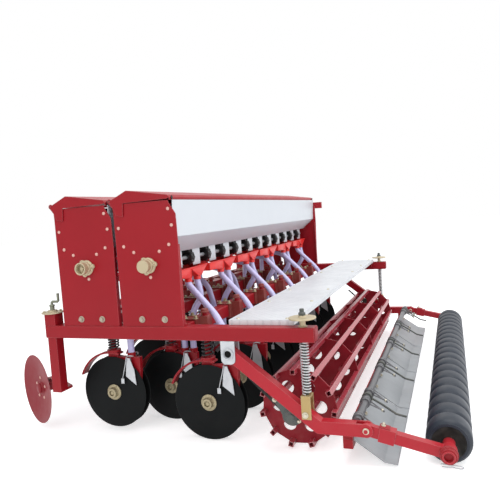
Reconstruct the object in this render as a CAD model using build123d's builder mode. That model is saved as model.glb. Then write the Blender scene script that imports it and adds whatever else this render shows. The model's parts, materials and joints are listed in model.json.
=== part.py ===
"""Twelve-row mounted seed drill: two hoppers on a frame, disc openers, cage roller,
levelling boards and a ribbed press roller.  Millimetres, +X to the machine's right,
+Y forwards, +Z up, origin on the ground under the middle of the machine."""
from build123d import *
import math
import os

os.makedirs("parts", exist_ok=True)

# ---------------------------------------------------------------- driving dimensions
running_gap = 5.0        # clear space round pieces that turn
seat_gap = 0.3           # face to face between pieces that only rest on each other
shaft_gap = 0.05         # radial clearance of a shaft in its bearing
sheet = 3.0              # folded sheet steel
plate = 8.0              # welded brackets

# rows
rows = 12
row_pitch = 200.0
row_x = [(i - (rows - 1) / 2) * row_pitch for i in range(rows)]
odd_rows = row_x[0::2]
even_rows = row_x[1::2]

# frame
tube = 60.0              # side of the square tube
side_room = 20.0         # from the outermost row's strip to the side beam
frame_half = rows * row_pitch / 2 + side_room + tube
beam_top = 568.0         # top of the side beams above the ground
beam_front = 712.0
beam_rear = -620.0
beam_mid_z = beam_top - tube / 2
beam_under = beam_top - tube
beam_x = frame_half - tube / 2
inner_half = frame_half - tube

# disc openers: rank name, hub place along the machine, hub height, rows of the rank
disc_radius = 178.0
disc_thickness = 4.0
disc_inner_x = 20.0      # inner face of a disc from the opener's middle
front_lift = 24.0        # the front rank runs shallower
ranks = [
    ("front", 457.0, disc_radius + front_lift, odd_rows),
    ("middle", 245.0, disc_radius, even_rows),
    ("rear", -60.0, disc_radius, odd_rows),
]
disc_axle_radius = 12.0
hub_flange_radius = 38.0
hub_flange = 8.0
hub_boss_radius = 25.0
hub_boss = 20.0
hub_socket_radius = 13.0
hub_socket = 12.0
leg_half = 11.0
eye_radius = 26.0
band_radius = disc_radius + 10   # inside of the arched guard above the discs
band_thickness = 9.0
band_width = 44.0
band_shift_y = 12.0
band_shift_z = 4.0
band_start = 24.0        # degrees above the forward horizontal
band_end = 104.0
rod_radius = 13.0
rod_above = 46.0         # how far the rod stands out of the beam
spring_radius = 29.0
spring_inner = 20.0
spring_turns = 7
opener_behind_beam = 61.0
clamp_width = 96.0
clamp_wall = 7.0
sleeve_half = 23.0

# hoppers: place of the middle of each along the machine
hopper_ys = {"front": 448.0, "rear": 118.0}
end_half = frame_half - 6        # outer face of the hopper end plates
end_plate = 4.0
hopper_top = beam_top + 556
trough_top_half = 147.0
trough_knee_half = 137.0
trough_knee_z = hopper_top - 162
trough_floor_half = 44.0
trough_floor_z = trough_knee_z - 78
meter_y_shift = -6.0     # metering shaft from the hopper's middle
meter_radius = 40.0
meter_room = 2.0         # between a wheel and the trough above or the funnel below
meter_z = trough_floor_z - meter_radius - meter_room
meter_thickness = 34.0
meter_shaft_radius = 11.0
flutes = 10
flute_radius = 7.0
funnel_top = meter_z - meter_radius - meter_room

# lids, from the hopper's middle and the ground
lid_tip = (172.0, hopper_top + 13)
lid_peak = (78.0, hopper_top + 56)
lid_back_top = (-128.0, hopper_top + 23)
lid_back = (-138.0, hopper_top + 13)
lid_rim_z = hopper_top + seat_gap
lid_half = end_half + 6.0
lid_bead_radius = 8.0
lid_rod_radius = 4.0
lid_rod_head = 2.0       # how far the rod stands out of the end plates
lid_ear_radius = 11.0

# seed hoses
hose_radius = 16.0
hose_wall = 3.0

# row end discs at the front corners
corner_post = 60.0
corner_post_y = 682.0
corner_leg = 50.0
corner_leg_bottom = 250.0
corner_top = 626.0
side_disc_radius = 178.0
side_disc_thickness = 5.0
side_disc_dish = 26.0
side_disc_toe = 27.0
side_disc_x = beam_x - 85
side_disc_y = corner_post_y + 223
side_disc_z = 208.0

# footboard
foot_angle_width = 40.0
foot_angle_height = 56.0
foot_front = -235.0
foot_rear = -525.0
foot_half = frame_half - 49
foot_fold = 22.0
foot_top = beam_top + foot_fold + seat_gap

# depth arms with the cage roller
pivot_y = -240.0
pivot_z = beam_under - 56
arm_x = beam_x
arm_width = 44.0
arm_section = 52.0
arm_knee_y = -615.0
arm_knee_z = 158.0
fork_plate = 8.0
cage_y = -490.0
cage_z = 181.0
cage_bar = 23.0
cage_bar_wall = 3.0
cage_bar_circle = 163.0
cage_bars = 11
cage_turn = 21.2         # degrees from the forward horizontal up to the first bar
cage_end_room = 70.0     # between the bars' ends and the bearing plates
cage_corner = 173.0      # corner radius of the end and middle plates
cage_plate = 6.0
cage_plates = 5
cage_plate_inset = 40.0  # from the bars' ends to the end plates
cage_hole_radius = 29.0
cage_hole_circle = 96.0
cage_holes = 6
cage_axle_radius = 22.0
bearing_plate = 8.0
strut_y = -568.0
strut_spring_radius = 20.0
strut_spring_inner = 14.0
strut_rod_radius = 10.0
strut_turns = 18
clevis_rise = 92.0       # top of a clevis above the arm's middle line
clevis_drop = 5.0
clevis_width = 40.0
handwheel_radius = 56.0
handwheel_rim = 8.0
handwheel_hub = 14.0

# tine pipe and levelling boards
pipe_y = -762.0
pipe_z = 178.0
pipe_radius = 17.0
board_beam_y = -722.0
board_beam_z = 84.0
board_beam_side = 40.0
boards = 4
board_half = arm_x - 26
board_gap = 12.0
board_rear_y = -862.0
board_rear_z = 14.0
board_lip = 52.0
board_thickness = 4.0

# rear arms with the ribbed roller
hinge_y = -803.0
hinge_z = arm_knee_z
press_y = -1106.0
press_radius = 90.0
press_rings = 20
press_core_radius = 72.0
press_axle_radius = 24.0
press_end_room = 63.0    # between the roller and the arms' bosses
rear_arm_width = 36.0
rear_arm_height = 42.0
arm_boss = 8.0           # how much wider than the arm its boss is

# three-point headstock
hitch_front = -(press_y - press_radius)
link_x = 412.0
link_pin_z = 470.0
link_pin_radius = 14.2
link_cheek = 34.0        # from the middle of a pair of cheeks to each
link_pin_inner = 68.0    # ends of a pin from the middle of its cheeks
link_pin_outer = 98.0
mast_half = 60.0
mast_top = 1030.0
top_link_z = 985.0
top_link_bore = 12.9


def save(piece, name):
    """Name a finished piece and write it."""
    piece.part.label = name
    export_step(piece.part, f"parts/{name}.step")


def spots(xs, y, z):
    """Points with the given X values on one line."""
    return [(x, y, z) for x in xs]


# ---------------------------------------------------------------- frame
beam_length = beam_front - beam_rear
with BuildPart() as side_beams:
    with Locations(*spots((-beam_x, beam_x), (beam_front + beam_rear) / 2, beam_mid_z)):
        Box(tube, beam_length, tube)
    chamfer(side_beams.edges().filter_by(Axis.Y), 3)
    # holes for the depth struts
    with Locations(*spots((-beam_x, beam_x), strut_y, beam_mid_z)):
        Cylinder(strut_rod_radius + seat_gap, tube, mode=Mode.SUBTRACT)
    # angles that carry the footboard's ends
    angle_top = foot_top - sheet - seat_gap
    angle_length = foot_front - foot_rear - 40
    angle_y = (foot_front + foot_rear) / 2
    for side in (-1, 1):
        with Locations((side * (inner_half - foot_angle_width / 2 + 1), angle_y, angle_top - plate / 2)):
            Box(foot_angle_width + 2, angle_length, plate)
        with Locations((side * (inner_half - plate / 2), angle_y, angle_top - foot_angle_height / 2)):
            Box(plate, angle_length, foot_angle_height)
save(side_beams, "side_beams")

front_beam_y = beam_front - 1.5 * tube + 2
opener_beam_ys = {name: hub_y + opener_behind_beam for name, hub_y, _, _ in ranks}
with BuildPart() as cross_beams:
    with Locations(*[(0, y, beam_mid_z) for y in opener_beam_ys.values()]):
        Box(2 * inner_half, tube, tube)
    chamfer(cross_beams.edges().filter_by(Axis.X), 3)
    with Locations((0, front_beam_y, beam_mid_z)):
        Box(2 * inner_half, tube, tube)
    # short stays that tie the front beam to the first opener beam
    stay_start = opener_beam_ys["front"] + tube / 2
    stay_end = front_beam_y - tube / 2
    with Locations(*spots((-link_x, link_x), (stay_start + stay_end) / 2, beam_mid_z)):
        Box(tube, stay_end - stay_start, tube - 6)
save(cross_beams, "opener_beams")

# ---------------------------------------------------------------- three-point headstock
front_face = front_beam_y + tube / 2
with BuildPart() as headstock:
    # two lower link cheeks on each side, in front of the beam
    for side in (-1, 1):
        for x in (side * link_x - link_cheek, side * link_x + link_cheek):
            with BuildSketch(Plane.YZ.offset(x - plate / 2)) as cheek:
                with BuildLine():
                    Polyline((front_face, beam_under), (front_face, beam_top), (front_face + 110, beam_top),
                             (hitch_front - 34, link_pin_z + 34), (hitch_front - 6, link_pin_z + 34),
                             (hitch_front, link_pin_z + 28), (hitch_front, link_pin_z - 30),
                             (hitch_front - 70, link_pin_z - 34), (front_face + 90, beam_under), close=True)
                make_face()
            extrude(amount=plate)
    # mast of two plates with a spacer at the top
    for x in (-mast_half, mast_half):
        with BuildSketch(Plane.YZ.offset(x - plate / 2)) as mast_side:
            with BuildLine():
                Polyline((front_face, beam_under), (front_face, beam_top + 90), (hitch_front - 190, mast_top),
                         (hitch_front - 90, mast_top), (hitch_front - 84, top_link_z - 40),
                         (front_face + 90, beam_under), close=True)
            make_face()
        extrude(amount=plate)
    with Locations((0, hitch_front - 176, mast_top - 30)):
        Box(2 * mast_half, 16, 40)
    # round bar that joins the lower cheeks and the mast
    with Locations((0, front_face + 60, beam_under + 30)):
        Cylinder(15, 2 * (link_x + link_cheek), rotation=(0, 90, 0))
    with Locations((0, hitch_front - 128, top_link_z)):
        Cylinder(top_link_bore, 2 * mast_half + 4 * plate, rotation=(0, 90, 0), mode=Mode.SUBTRACT)
    # lower link pins, outwards from the cheeks
    for side in (-1, 1):
        pin_x = link_x + (link_pin_outer - link_pin_inner) / 2
        with Locations((side * pin_x, hitch_front - 34, link_pin_z)):
            Cylinder(link_pin_radius, link_pin_inner + link_pin_outer, rotation=(0, 90, 0))
save(headstock, "headstock")

# ---------------------------------------------------------------- hoppers
end_profile = [(-152, beam_top), (-160, hopper_top - 189), (-158, hopper_top - 60), (-128, hopper_top - 12),
               (-126, hopper_top), (158, hopper_top), (156, hopper_top - 54), (153, beam_top)]
end_fold = 24.0
end_fold_height = hopper_top - 194 - beam_top
foot_angle = 46.0
foot_angle_length = 300.0
foot_angle_sheet = 6.0
housing = (26.0, 75.0, 53.0)
with BuildPart() as hopper_ends:
    for y_mid in hopper_ys.values():
        for side in (-1, 1):
            plane_x = side * end_half if side < 0 else end_half - end_plate
            with BuildSketch(Plane.YZ.offset(plane_x)) as end_face:
                with BuildLine():
                    Polyline(*[(y_mid + y, z) for y, z in end_profile], close=True)
                make_face()
                # ear that carries the lid's hinge rod
                with Locations((y_mid + lid_tip[0], lid_tip[1])):
                    Circle(lid_ear_radius)
                with BuildLine():
                    Polyline((y_mid + 130, hopper_top), (y_mid + 158, hopper_top - 20),
                             (y_mid + lid_tip[0] + 6, lid_tip[1] - 8), (y_mid + lid_tip[0] - 8, lid_tip[1] + 6),
                             close=True)
                make_face()
                with Locations((y_mid + lid_tip[0], lid_tip[1])):
                    Circle(lid_rod_radius, mode=Mode.SUBTRACT)
            extrude(amount=end_plate)
            # folded rear edge of the plate
            with Locations((side * (end_half - end_fold / 2), y_mid - 153, beam_top + end_fold_height / 2)):
                Box(end_fold, end_plate, end_fold_height)
            # foot angle on the side beam
            with Locations((side * (end_half - end_plate - foot_angle / 2), y_mid, beam_top + foot_angle_sheet / 2)):
                Box(foot_angle, foot_angle_length, foot_angle_sheet)
    # small housing on the rear hopper's right end plate, standing out behind its edge
    with Locations((end_half + seat_gap + housing[0] / 2, hopper_ys["rear"] - 216 + housing[1] / 2, hopper_top - 47)):
        Box(*housing)
save(hopper_ends, "hopper_ends")

with BuildPart() as lid_rods:
    for y_mid in hopper_ys.values():
        with Locations((0, y_mid + lid_tip[0], lid_tip[1])):
            Cylinder(lid_rod_radius, 2 * (end_half + lid_rod_head), rotation=(0, 90, 0))
save(lid_rods, "lid_rods")


trough_half = end_half - end_plate
slope_shift = 4.5        # inner face of a sloping sheet from its outer face, sideways
floor_half = trough_floor_half - slope_shift - seat_gap
with BuildPart() as troughs:
    for y_mid in hopper_ys.values():
        for side in (-1, 1):
            # upright sheet and the sloping sheet below it
            for outline in (
                [(trough_top_half, hopper_top), (trough_top_half - sheet, hopper_top),
                 (trough_knee_half - sheet, trough_knee_z + seat_gap), (trough_knee_half, trough_knee_z + seat_gap)],
                [(trough_knee_half, trough_knee_z), (trough_knee_half - slope_shift, trough_knee_z),
                 (trough_floor_half - slope_shift, trough_floor_z), (trough_floor_half, trough_floor_z)],
            ):
                with BuildSketch(Plane.YZ.offset(-trough_half)) as trough_face:
                    with BuildLine():
                        Polyline(*[(y_mid + side * y, z) for y, z in outline], close=True)
                    make_face()
                extrude(amount=2 * trough_half)
        with Locations((0, y_mid, trough_floor_z + sheet / 2)):
            Box(2 * trough_half, 2 * floor_half, sheet)
save(troughs, "hopper_troughs")

for name, y_mid in hopper_ys.items():
    with BuildPart() as lid:
        with BuildSketch(Plane.YZ.offset(-lid_half)) as lid_face:
            with BuildLine():
                Polyline((y_mid + lid_tip[0], lid_tip[1]), (y_mid + lid_peak[0], lid_peak[1]),
                         (y_mid + lid_back_top[0], lid_back_top[1]), (y_mid + lid_back[0], lid_back[1]),
                         (y_mid + lid_back[0], lid_rim_z), (y_mid + lid_back[0] + sheet, lid_rim_z),
                         (y_mid + lid_back[0] + sheet, lid_back[1] - 1),
                         (y_mid + lid_back_top[0] + 1, lid_back_top[1] - sheet),
                         (y_mid + lid_peak[0], lid_peak[1] - sheet - 0.2),
                         (y_mid + lid_tip[0] - sheet, lid_tip[1] - sheet), close=True)
            make_face()
        extrude(amount=2 * lid_half)
        # end cheeks outside the hopper ends
        for x in (-lid_half, lid_half - sheet):
            with BuildSketch(Plane.YZ.offset(x)) as cheek_face:
                with BuildLine():
                    Polyline((y_mid + lid_tip[0], lid_tip[1]), (y_mid + lid_peak[0], lid_peak[1]),
                             (y_mid + lid_back_top[0], lid_back_top[1]), (y_mid + lid_back[0], lid_back[1]),
                             (y_mid + lid_back[0] + 12, hopper_top + 6), (y_mid + 99, hopper_top + 1),
                             (y_mid + 104, hopper_top - 58), (y_mid + 140, hopper_top - 52),
                             (y_mid + 150, hopper_top - 24), close=True)
                make_face()
            extrude(amount=sheet)
        # rolled edge round the hinge rod, between the ears
        bead_length = 2 * (end_half - end_plate - 1)
        with Locations((0, y_mid + lid_tip[0], lid_tip[1])):
            Cylinder(lid_bead_radius, bead_length, rotation=(0, 90, 0))
            Cylinder(lid_rod_radius + shaft_gap, 2 * lid_half + 2, rotation=(0, 90, 0), mode=Mode.SUBTRACT)
        # room for the ears
        for side in (-1, 1):
            with Locations((side * (end_half - end_plate / 2), y_mid + lid_tip[0] - 8, lid_tip[1])):
                Box(end_plate + 2.4, 46, 30, mode=Mode.SUBTRACT)
    save(lid, f"{name}_lid")

# ---------------------------------------------------------------- metering
meter_ys = {name: y_mid + meter_y_shift for name, y_mid in hopper_ys.items()}
crops = {"rear": "seed", "front": "fertiliser"}
for name, crop in crops.items():
    meter_y = meter_ys[name]
    with BuildPart() as meters:
        for x in row_x:
            with BuildSketch(Plane.YZ.offset(x - meter_thickness / 2)) as wheel_face:
                with Locations((meter_y, meter_z)):
                    Circle(meter_radius)
                    with PolarLocations(meter_radius, flutes):
                        Circle(flute_radius, mode=Mode.SUBTRACT)
            extrude(amount=meter_thickness)
        with Locations((0, meter_y, meter_z)):
            Cylinder(meter_shaft_radius, 2 * (end_half - end_plate), rotation=(0, 90, 0))
    save(meters, f"{crop}_meters")

# sheet uprights between the wheels, and a full-width apron ahead of them that carries the funnels
funnel_wall = 3.0
funnel_rear = 56.0       # faces of a funnel from the metering shaft
funnel_front = 42.7
funnel_collar = 20.0     # straight part at the mouth
upright_width = 83.0
upright_shift = 61.5     # to the right of the wheel's middle
upright_y = -20.0
upright_top = trough_floor_z - seat_gap
upright_bottom = funnel_top + seat_gap
apron_bottom = funnel_top - 12
apron_y = funnel_front + seat_gap + sheet / 2
with BuildPart() as uprights:
    for y in meter_ys.values():
        middle_z = (upright_top + upright_bottom) / 2
        with Locations(*spots([x + upright_shift for x in row_x], y + upright_y, middle_z)):
            Box(upright_width, sheet, upright_top - upright_bottom)
        with Locations((0, y + apron_y, (upright_top + apron_bottom) / 2)):
            Box(2 * trough_half, sheet, upright_top - apron_bottom)
save(uprights, "meter_uprights")

# funnels: one wide cup for every two rows; each half narrows to its own outlet
funnel_half = 187.0
outlet_radius = hose_radius + seat_gap + funnel_wall
throat_half = outlet_radius + 1.5
outlet_y = -47.0         # behind the metering shaft
outlet_shifts = (0.0, 100.0)
outlet_bottom = funnel_top - 70
outlet_top = funnel_top - 52
throat_z = funnel_top - funnel_collar - seat_gap
pair_x = [(row_x[i] + row_x[i + 1]) / 2 for i in range(0, rows, 2)]
funnel_mid = (funnel_front - funnel_rear) / 2
funnel_depth = funnel_front + funnel_rear
for name, crop in crops.items():
    meter_y = meter_ys[name]
    with BuildPart() as funnels:
        for x in pair_x:
            # four sheets round the mouth
            collar_z = funnel_top - funnel_collar / 2
            with Locations(*spots((x - funnel_half + funnel_wall / 2, x + funnel_half - funnel_wall / 2),
                                  meter_y + funnel_mid, collar_z)):
                Box(funnel_wall, funnel_depth, funnel_collar)
            for y in (meter_y - funnel_rear + funnel_wall / 2, meter_y + funnel_front - funnel_wall / 2):
                with Locations((x, y, collar_z)):
                    Box(2 * (funnel_half - funnel_wall - seat_gap), funnel_wall, funnel_collar)
            # the two narrowing halves
            for side, shift in zip((-1, 1), outlet_shifts):
                half_width = (funnel_half - seat_gap) / 2
                half_x = x + side * (half_width + seat_gap)
                for shrink, mode in ((0, Mode.ADD), (funnel_wall, Mode.SUBTRACT)):
                    with BuildSketch(Plane.XY.offset(outlet_top)) as outlet_face:
                        with Locations((x + shift, meter_y + outlet_y)):
                            Rectangle(2 * (throat_half - shrink), 2 * (throat_half - shrink))
                    with BuildSketch(Plane.XY.offset(throat_z)) as mouth_face:
                        with Locations((half_x, meter_y + funnel_mid)):
                            Rectangle(2 * (half_width - shrink), funnel_depth - 2 * shrink)
                    loft(mode=mode)
                with Locations((x + shift, meter_y + outlet_y, (outlet_top + outlet_bottom) / 2 + 1)):
                    Cylinder(outlet_radius, outlet_top - outlet_bottom + 2)
                    Cylinder(hose_radius + seat_gap, outlet_top - outlet_bottom + 20, mode=Mode.SUBTRACT)
    save(funnels, f"{crop}_funnels")

# ---------------------------------------------------------------- disc openers
seed_boot = {"rear": -118.0, "middle": -130.0}
fertiliser_boot = {"front": -100.0, "middle": -80.0}
boot_top = 176.0         # above the hub
boot_half = 13.0
collar_height = 22.0
seat_height = 10.0
sleeve_top = beam_top + 16
sleeve_bottom = beam_under - clamp_wall
band_middle = band_radius + band_thickness / 2
for name, hub_y, hub_z, xs in ranks:
    band_crown = hub_z + band_shift_z + band_radius + band_thickness
    with BuildPart() as openers:
        for x in xs:
            # arched guard above the discs
            with BuildSketch(Plane.YZ.offset(x - band_width / 2)) as band_face:
                with BuildLine():
                    CenterArc((hub_y + band_shift_y, hub_z + band_shift_z), band_middle,
                              band_start, band_end - band_start)
                    offset(amount=band_thickness / 2)
                make_face()
            extrude(amount=band_width)
            # leg from the guard to the hub, and the flat boot behind it
            with BuildSketch(Plane.YZ.offset(x - leg_half)) as leg_face:
                with BuildLine():
                    Polyline((hub_y - 26, hub_z + band_middle), (hub_y + 30, hub_z + band_middle + 3),
                             (hub_y + eye_radius, hub_z), (hub_y - eye_radius, hub_z), close=True)
                make_face()
                with Locations((hub_y, hub_z)):
                    Circle(eye_radius)
                    Circle(disc_axle_radius + shaft_gap, mode=Mode.SUBTRACT)
            extrude(amount=2 * leg_half)
            with BuildSketch(Plane.YZ.offset(x - boot_half)) as boot_face:
                with BuildLine():
                    Polyline((hub_y - 22, hub_z + boot_top), (hub_y - 152, hub_z + boot_top),
                             (hub_y - 150, hub_z + 110), (hub_y - 112, hub_z - 118),
                             (hub_y - 84, hub_z - 124), (hub_y - 70, hub_z + 60), (hub_y - 22, hub_z + 130),
                             close=True)
                make_face()
            extrude(amount=2 * boot_half)
            # collars that take the hoses
            collar_ys = [hub_y + boots[name] for boots in (seed_boot, fertiliser_boot) if name in boots]
            with Locations(*[(x, y, hub_z + boot_top + collar_height / 2) for y in collar_ys]):
                Cylinder(hose_radius + 4, collar_height)
                Cylinder(hose_radius + seat_gap, collar_height, mode=Mode.SUBTRACT)
            # spring seat and the rod that slides in the clamp
            with Locations((x, hub_y, band_crown + seat_height / 2 - 2)):
                Cylinder(spring_radius + 5, seat_height + 4)
            rod_length = beam_top + rod_above - band_crown
            with Locations((x, hub_y, band_crown + rod_length / 2)):
                Cylinder(rod_radius, rod_length)
    save(openers, f"openers_{name}")

with BuildPart() as clamps:
    for name, hub_y, hub_z, xs in ranks:
        beam_y = opener_beam_ys[name]
        sleeve_z = (sleeve_top + sleeve_bottom) / 2
        with Locations(*spots(xs, hub_y, sleeve_z)):
            Box(2 * sleeve_half, 2 * sleeve_half, sleeve_top - sleeve_bottom)
        plate_z = (beam_top + beam_under) / 2
        back_y = (hub_y + sleeve_half + beam_y - tube / 2) / 2
        with Locations(*spots(xs, back_y, plate_z)):
            Box(clamp_width, beam_y - tube / 2 - hub_y - sleeve_half, tube + 2 * clamp_wall)
        with Locations(*spots(xs, beam_y + tube / 2 + clamp_wall / 2, plate_z)):
            Box(clamp_width, clamp_wall, tube + 2 * clamp_wall)
        strap_start = hub_y + sleeve_half
        strap_end = beam_y + tube / 2 + clamp_wall
        for z in (beam_top + clamp_wall / 2, beam_under - clamp_wall / 2):
            with Locations(*spots(xs, (strap_start + strap_end) / 2, z)):
                Box(clamp_width, strap_end - strap_start, clamp_wall)
        with Locations(*spots(xs, hub_y, sleeve_z)):
            Cylinder(rod_radius + seat_gap, sleeve_top - sleeve_bottom, mode=Mode.SUBTRACT)
save(clamps, "opener_clamps")


def coil(height, outer, inner, turns):
    """A coil spring's ribbed sleeve, standing on the XY plane round the Z axis."""
    pitch = height / turns
    waist = outer - 0.35 * (outer - inner)
    with BuildPart() as sleeve:
        with BuildSketch(Plane.XZ) as ribs:
            with BuildLine():
                outline = [(inner, 0), (waist, 0)]
                for turn in range(turns):
                    outline += [(outer, (turn + 0.3) * pitch), (outer, (turn + 0.7) * pitch),
                                (waist, (turn + 1) * pitch)]
                Polyline(*outline, (inner, height), close=True)
            make_face()
        revolve(axis=Axis.Z)
    return sleeve.part


with BuildPart() as springs:
    for name, hub_y, hub_z, xs in ranks:
        spring_bottom = hub_z + band_shift_z + band_radius + band_thickness + seat_height
        spring = coil(sleeve_bottom - seat_gap - spring_bottom - seat_gap, spring_radius, spring_inner, spring_turns)
        with Locations(*spots(xs, hub_y, spring_bottom + seat_gap)):
            add(spring)
save(springs, "opener_springs")

scraper_bar = 12.0
scraper_y = -97.0
scraper_z = 168.0
disc_outer_x = disc_inner_x + disc_thickness
with BuildPart() as scrapers:
    for name, hub_y, hub_z, xs in ranks:
        for x in xs:
            for side in (-1, 1):
                near = x + side * boot_half
                far = x + side * (disc_outer_x + running_gap + sheet)
                with Locations(((near + far) / 2, hub_y + scraper_y, hub_z + scraper_z)):
                    Box(abs(far - near), scraper_bar, scraper_bar)
                with BuildSketch(Plane.YZ.offset(far if side < 0 else far - sheet)) as blade:
                    with BuildLine():
                        Polyline((hub_y - 88, hub_z + 176), (hub_y - 106, hub_z + 176), (hub_y - 128, hub_z + 118),
                                 (hub_y - 134, hub_z + 42), (hub_y - 78, hub_z + 84), close=True)
                    make_face()
                extrude(amount=sheet)
save(scrapers, "scrapers")

for name, hub_y, hub_z, xs in ranks:
    for number, x in enumerate(xs, start=1):
        with BuildPart() as twin:
            with Locations((x, hub_y, hub_z)):
                Cylinder(disc_axle_radius, 2 * disc_outer_x, rotation=(0, 90, 0))
            for side in (-1, 1):
                with Locations((x + side * (disc_inner_x + disc_thickness / 2), hub_y, hub_z)):
                    Cylinder(disc_radius, disc_thickness, rotation=(0, 90, 0))
                with Locations((x + side * (disc_outer_x + hub_flange / 2), hub_y, hub_z)):
                    Cylinder(hub_flange_radius, hub_flange, rotation=(0, 90, 0))
                boss_x = disc_outer_x + hub_flange + hub_boss / 2
                with Locations((x + side * boss_x, hub_y, hub_z)):
                    Cylinder(hub_boss_radius, hub_boss, rotation=(0, 90, 0))
                socket_x = disc_outer_x + hub_flange + hub_boss - hub_socket / 2
                with Locations((x + side * socket_x, hub_y, hub_z)):
                    Cylinder(hub_socket_radius, hub_socket, rotation=(0, 90, 0), mode=Mode.SUBTRACT)
        save(twin, f"discs_{name}_{number}")

# ---------------------------------------------------------------- hoses
# route points behind the funnel outlets: sideways and along from the boot, and height
hose_start = outlet_top - 4
hose_bend = outlet_bottom - 14
row_shift = row_pitch / 2


def hose(points):
    """A hose wall swept along straight runs joined by wide arcs."""
    radii = []
    for before, corner, after in zip(points, points[1:], points[2:]):
        runs = Vector(*corner) - Vector(*before), Vector(*after) - Vector(*corner)
        half_turn = math.radians(runs[0].get_angle(runs[1]) / 2)
        radii.append(0.45 * min(run.length for run in runs) / math.tan(half_turn))
    with BuildPart() as tube_part:
        with BuildLine() as route:
            FilletPolyline(*points, radius=radii)
        with BuildSketch(Plane(origin=route.line @ 0, z_dir=route.line % 0)):
            Circle(hose_radius)
            Circle(hose_radius - hose_wall, mode=Mode.SUBTRACT)
        sweep()
    return tube_part.part


hose_ends = {name: (hub_y, hub_z + boot_top + seat_gap) for name, hub_y, hub_z, _ in ranks}
with BuildPart() as seed_hoses:
    start_y = meter_ys["rear"] + outlet_y
    for x in pair_x:
        # to the rear rank, past the right of its clamp
        start_x, end_x = x + outlet_shifts[0], x - row_shift
        end_y, end_z = hose_ends["rear"][0] + seed_boot["rear"], hose_ends["rear"][1]
        add(hose([(start_x, start_y, hose_start), (start_x, start_y, hose_bend),
                  (start_x - 26, start_y - 82, beam_top + 76), (start_x - 58, start_y - 168, beam_top + 2),
                  (end_x + 4, end_y + 12, beam_top - 88), (end_x, end_y, beam_top - 140),
                  (end_x, end_y, end_z)]))
        # to the middle rank
        start_x = x + outlet_shifts[1]
        end_y, end_z = hose_ends["middle"][0] + seed_boot["middle"], hose_ends["middle"][1]
        add(hose([(start_x, start_y, hose_start), (start_x, start_y, hose_bend), (start_x, start_y - 18, beam_top + 72),
                  (start_x, end_y - 18, beam_top + 6), (start_x, end_y, beam_top - 60),
                  (start_x, end_y, end_z)]))
save(seed_hoses, "seed_hoses")

with BuildPart() as fertiliser_hoses:
    start_y = meter_ys["front"] + outlet_y
    for x in pair_x:
        start_x, end_x = x + outlet_shifts[0], x - row_shift
        end_y, end_z = hose_ends["front"][0] + fertiliser_boot["front"], hose_ends["front"][1]
        add(hose([(start_x, start_y, hose_start), (start_x, start_y, hose_bend),
                  (start_x - 50, start_y - 26, beam_top + 60), (end_x + 6, end_y + 2, beam_top - 20),
                  (end_x, end_y, beam_top - 90), (end_x, end_y, end_z)]))
        # over the middle beam and behind it
        start_x = x + outlet_shifts[1]
        end_y, end_z = hose_ends["middle"][0] + fertiliser_boot["middle"], hose_ends["middle"][1]
        add(hose([(start_x, start_y, hose_start), (start_x, start_y, hose_bend),
                  (start_x, end_y + 42, beam_top + 104), (start_x, end_y + 4, beam_top - 40),
                  (start_x, end_y, beam_top - 120), (start_x, end_y, end_z)]))
save(fertiliser_hoses, "fertiliser_hoses")

# ---------------------------------------------------------------- rate knobs
knob_reach = 54.0
knob_radius = 30.0
with BuildPart() as knobs:
    for y in meter_ys.values():
        with Locations((-end_half - 5, y, meter_z)):
            Box(10, 62, 62)
        with Locations((-end_half - knob_reach / 2, y, meter_z)):
            Cylinder(knob_radius, knob_reach, rotation=(0, 90, 0))
    # the fertiliser knob is an open cup
    with Locations((-end_half - knob_reach + 15, meter_ys["front"], meter_z)):
        Cylinder(knob_radius - 7, 30, rotation=(0, 90, 0), mode=Mode.SUBTRACT)
save(knobs, "rate_knobs")

# ---------------------------------------------------------------- corner discs
def spindle_plane(side):
    """Rim plane of a corner disc, its Z axis towards the hub and its X axis up."""
    inwards = Vector(-side, 0, 0).rotate(Axis.Z, side_disc_toe * side)
    return Plane(origin=(side * side_disc_x, side_disc_y, side_disc_z), x_dir=(0, 0, 1), z_dir=inwards)


side_hub_radius = 36.0
side_hub_end = side_disc_dish + 30.0
side_block = side_hub_end + 6.0
spindle_radius = 12.0
# from the corner post, outwards and forwards
corner_bracket = [(25, -25), (25, 25), (-35, 25), (-138, 182), (-160, 208), (-188, 194), (-60, -25)]
with BuildPart() as corner_posts:
    upper = corner_top - beam_top
    lower = beam_under - corner_leg_bottom
    with Locations(*spots((-beam_x, beam_x), corner_post_y, beam_top + upper / 2)):
        Box(corner_post, corner_post, upper)
    with Locations(*spots((-beam_x, beam_x), corner_post_y, corner_leg_bottom + lower / 2)):
        Box(corner_leg, corner_leg, lower)
    for side in (-1, 1):
        # bracket plate from the leg's foot round behind the disc to its spindle
        with BuildSketch(Plane.XY.offset(corner_leg_bottom - 12)) as bracket_face:
            with BuildLine():
                Polyline(*[(side * (beam_x + x), corner_post_y + y) for x, y in corner_bracket], close=True)
            make_face()
        extrude(amount=12)
        block_height = corner_leg_bottom - side_disc_z + 20
        with BuildSketch(spindle_plane(side).offset(side_block)) as block_face:
            with Locations((block_height / 2 - 20, 0)):
                Rectangle(block_height, 40)
        extrude(amount=30)
        with BuildSketch(spindle_plane(side).offset(side_disc_dish + 2)) as spindle_face:
            Circle(spindle_radius)
        extrude(amount=side_block - side_disc_dish)
save(corner_posts, "corner_posts")

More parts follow.
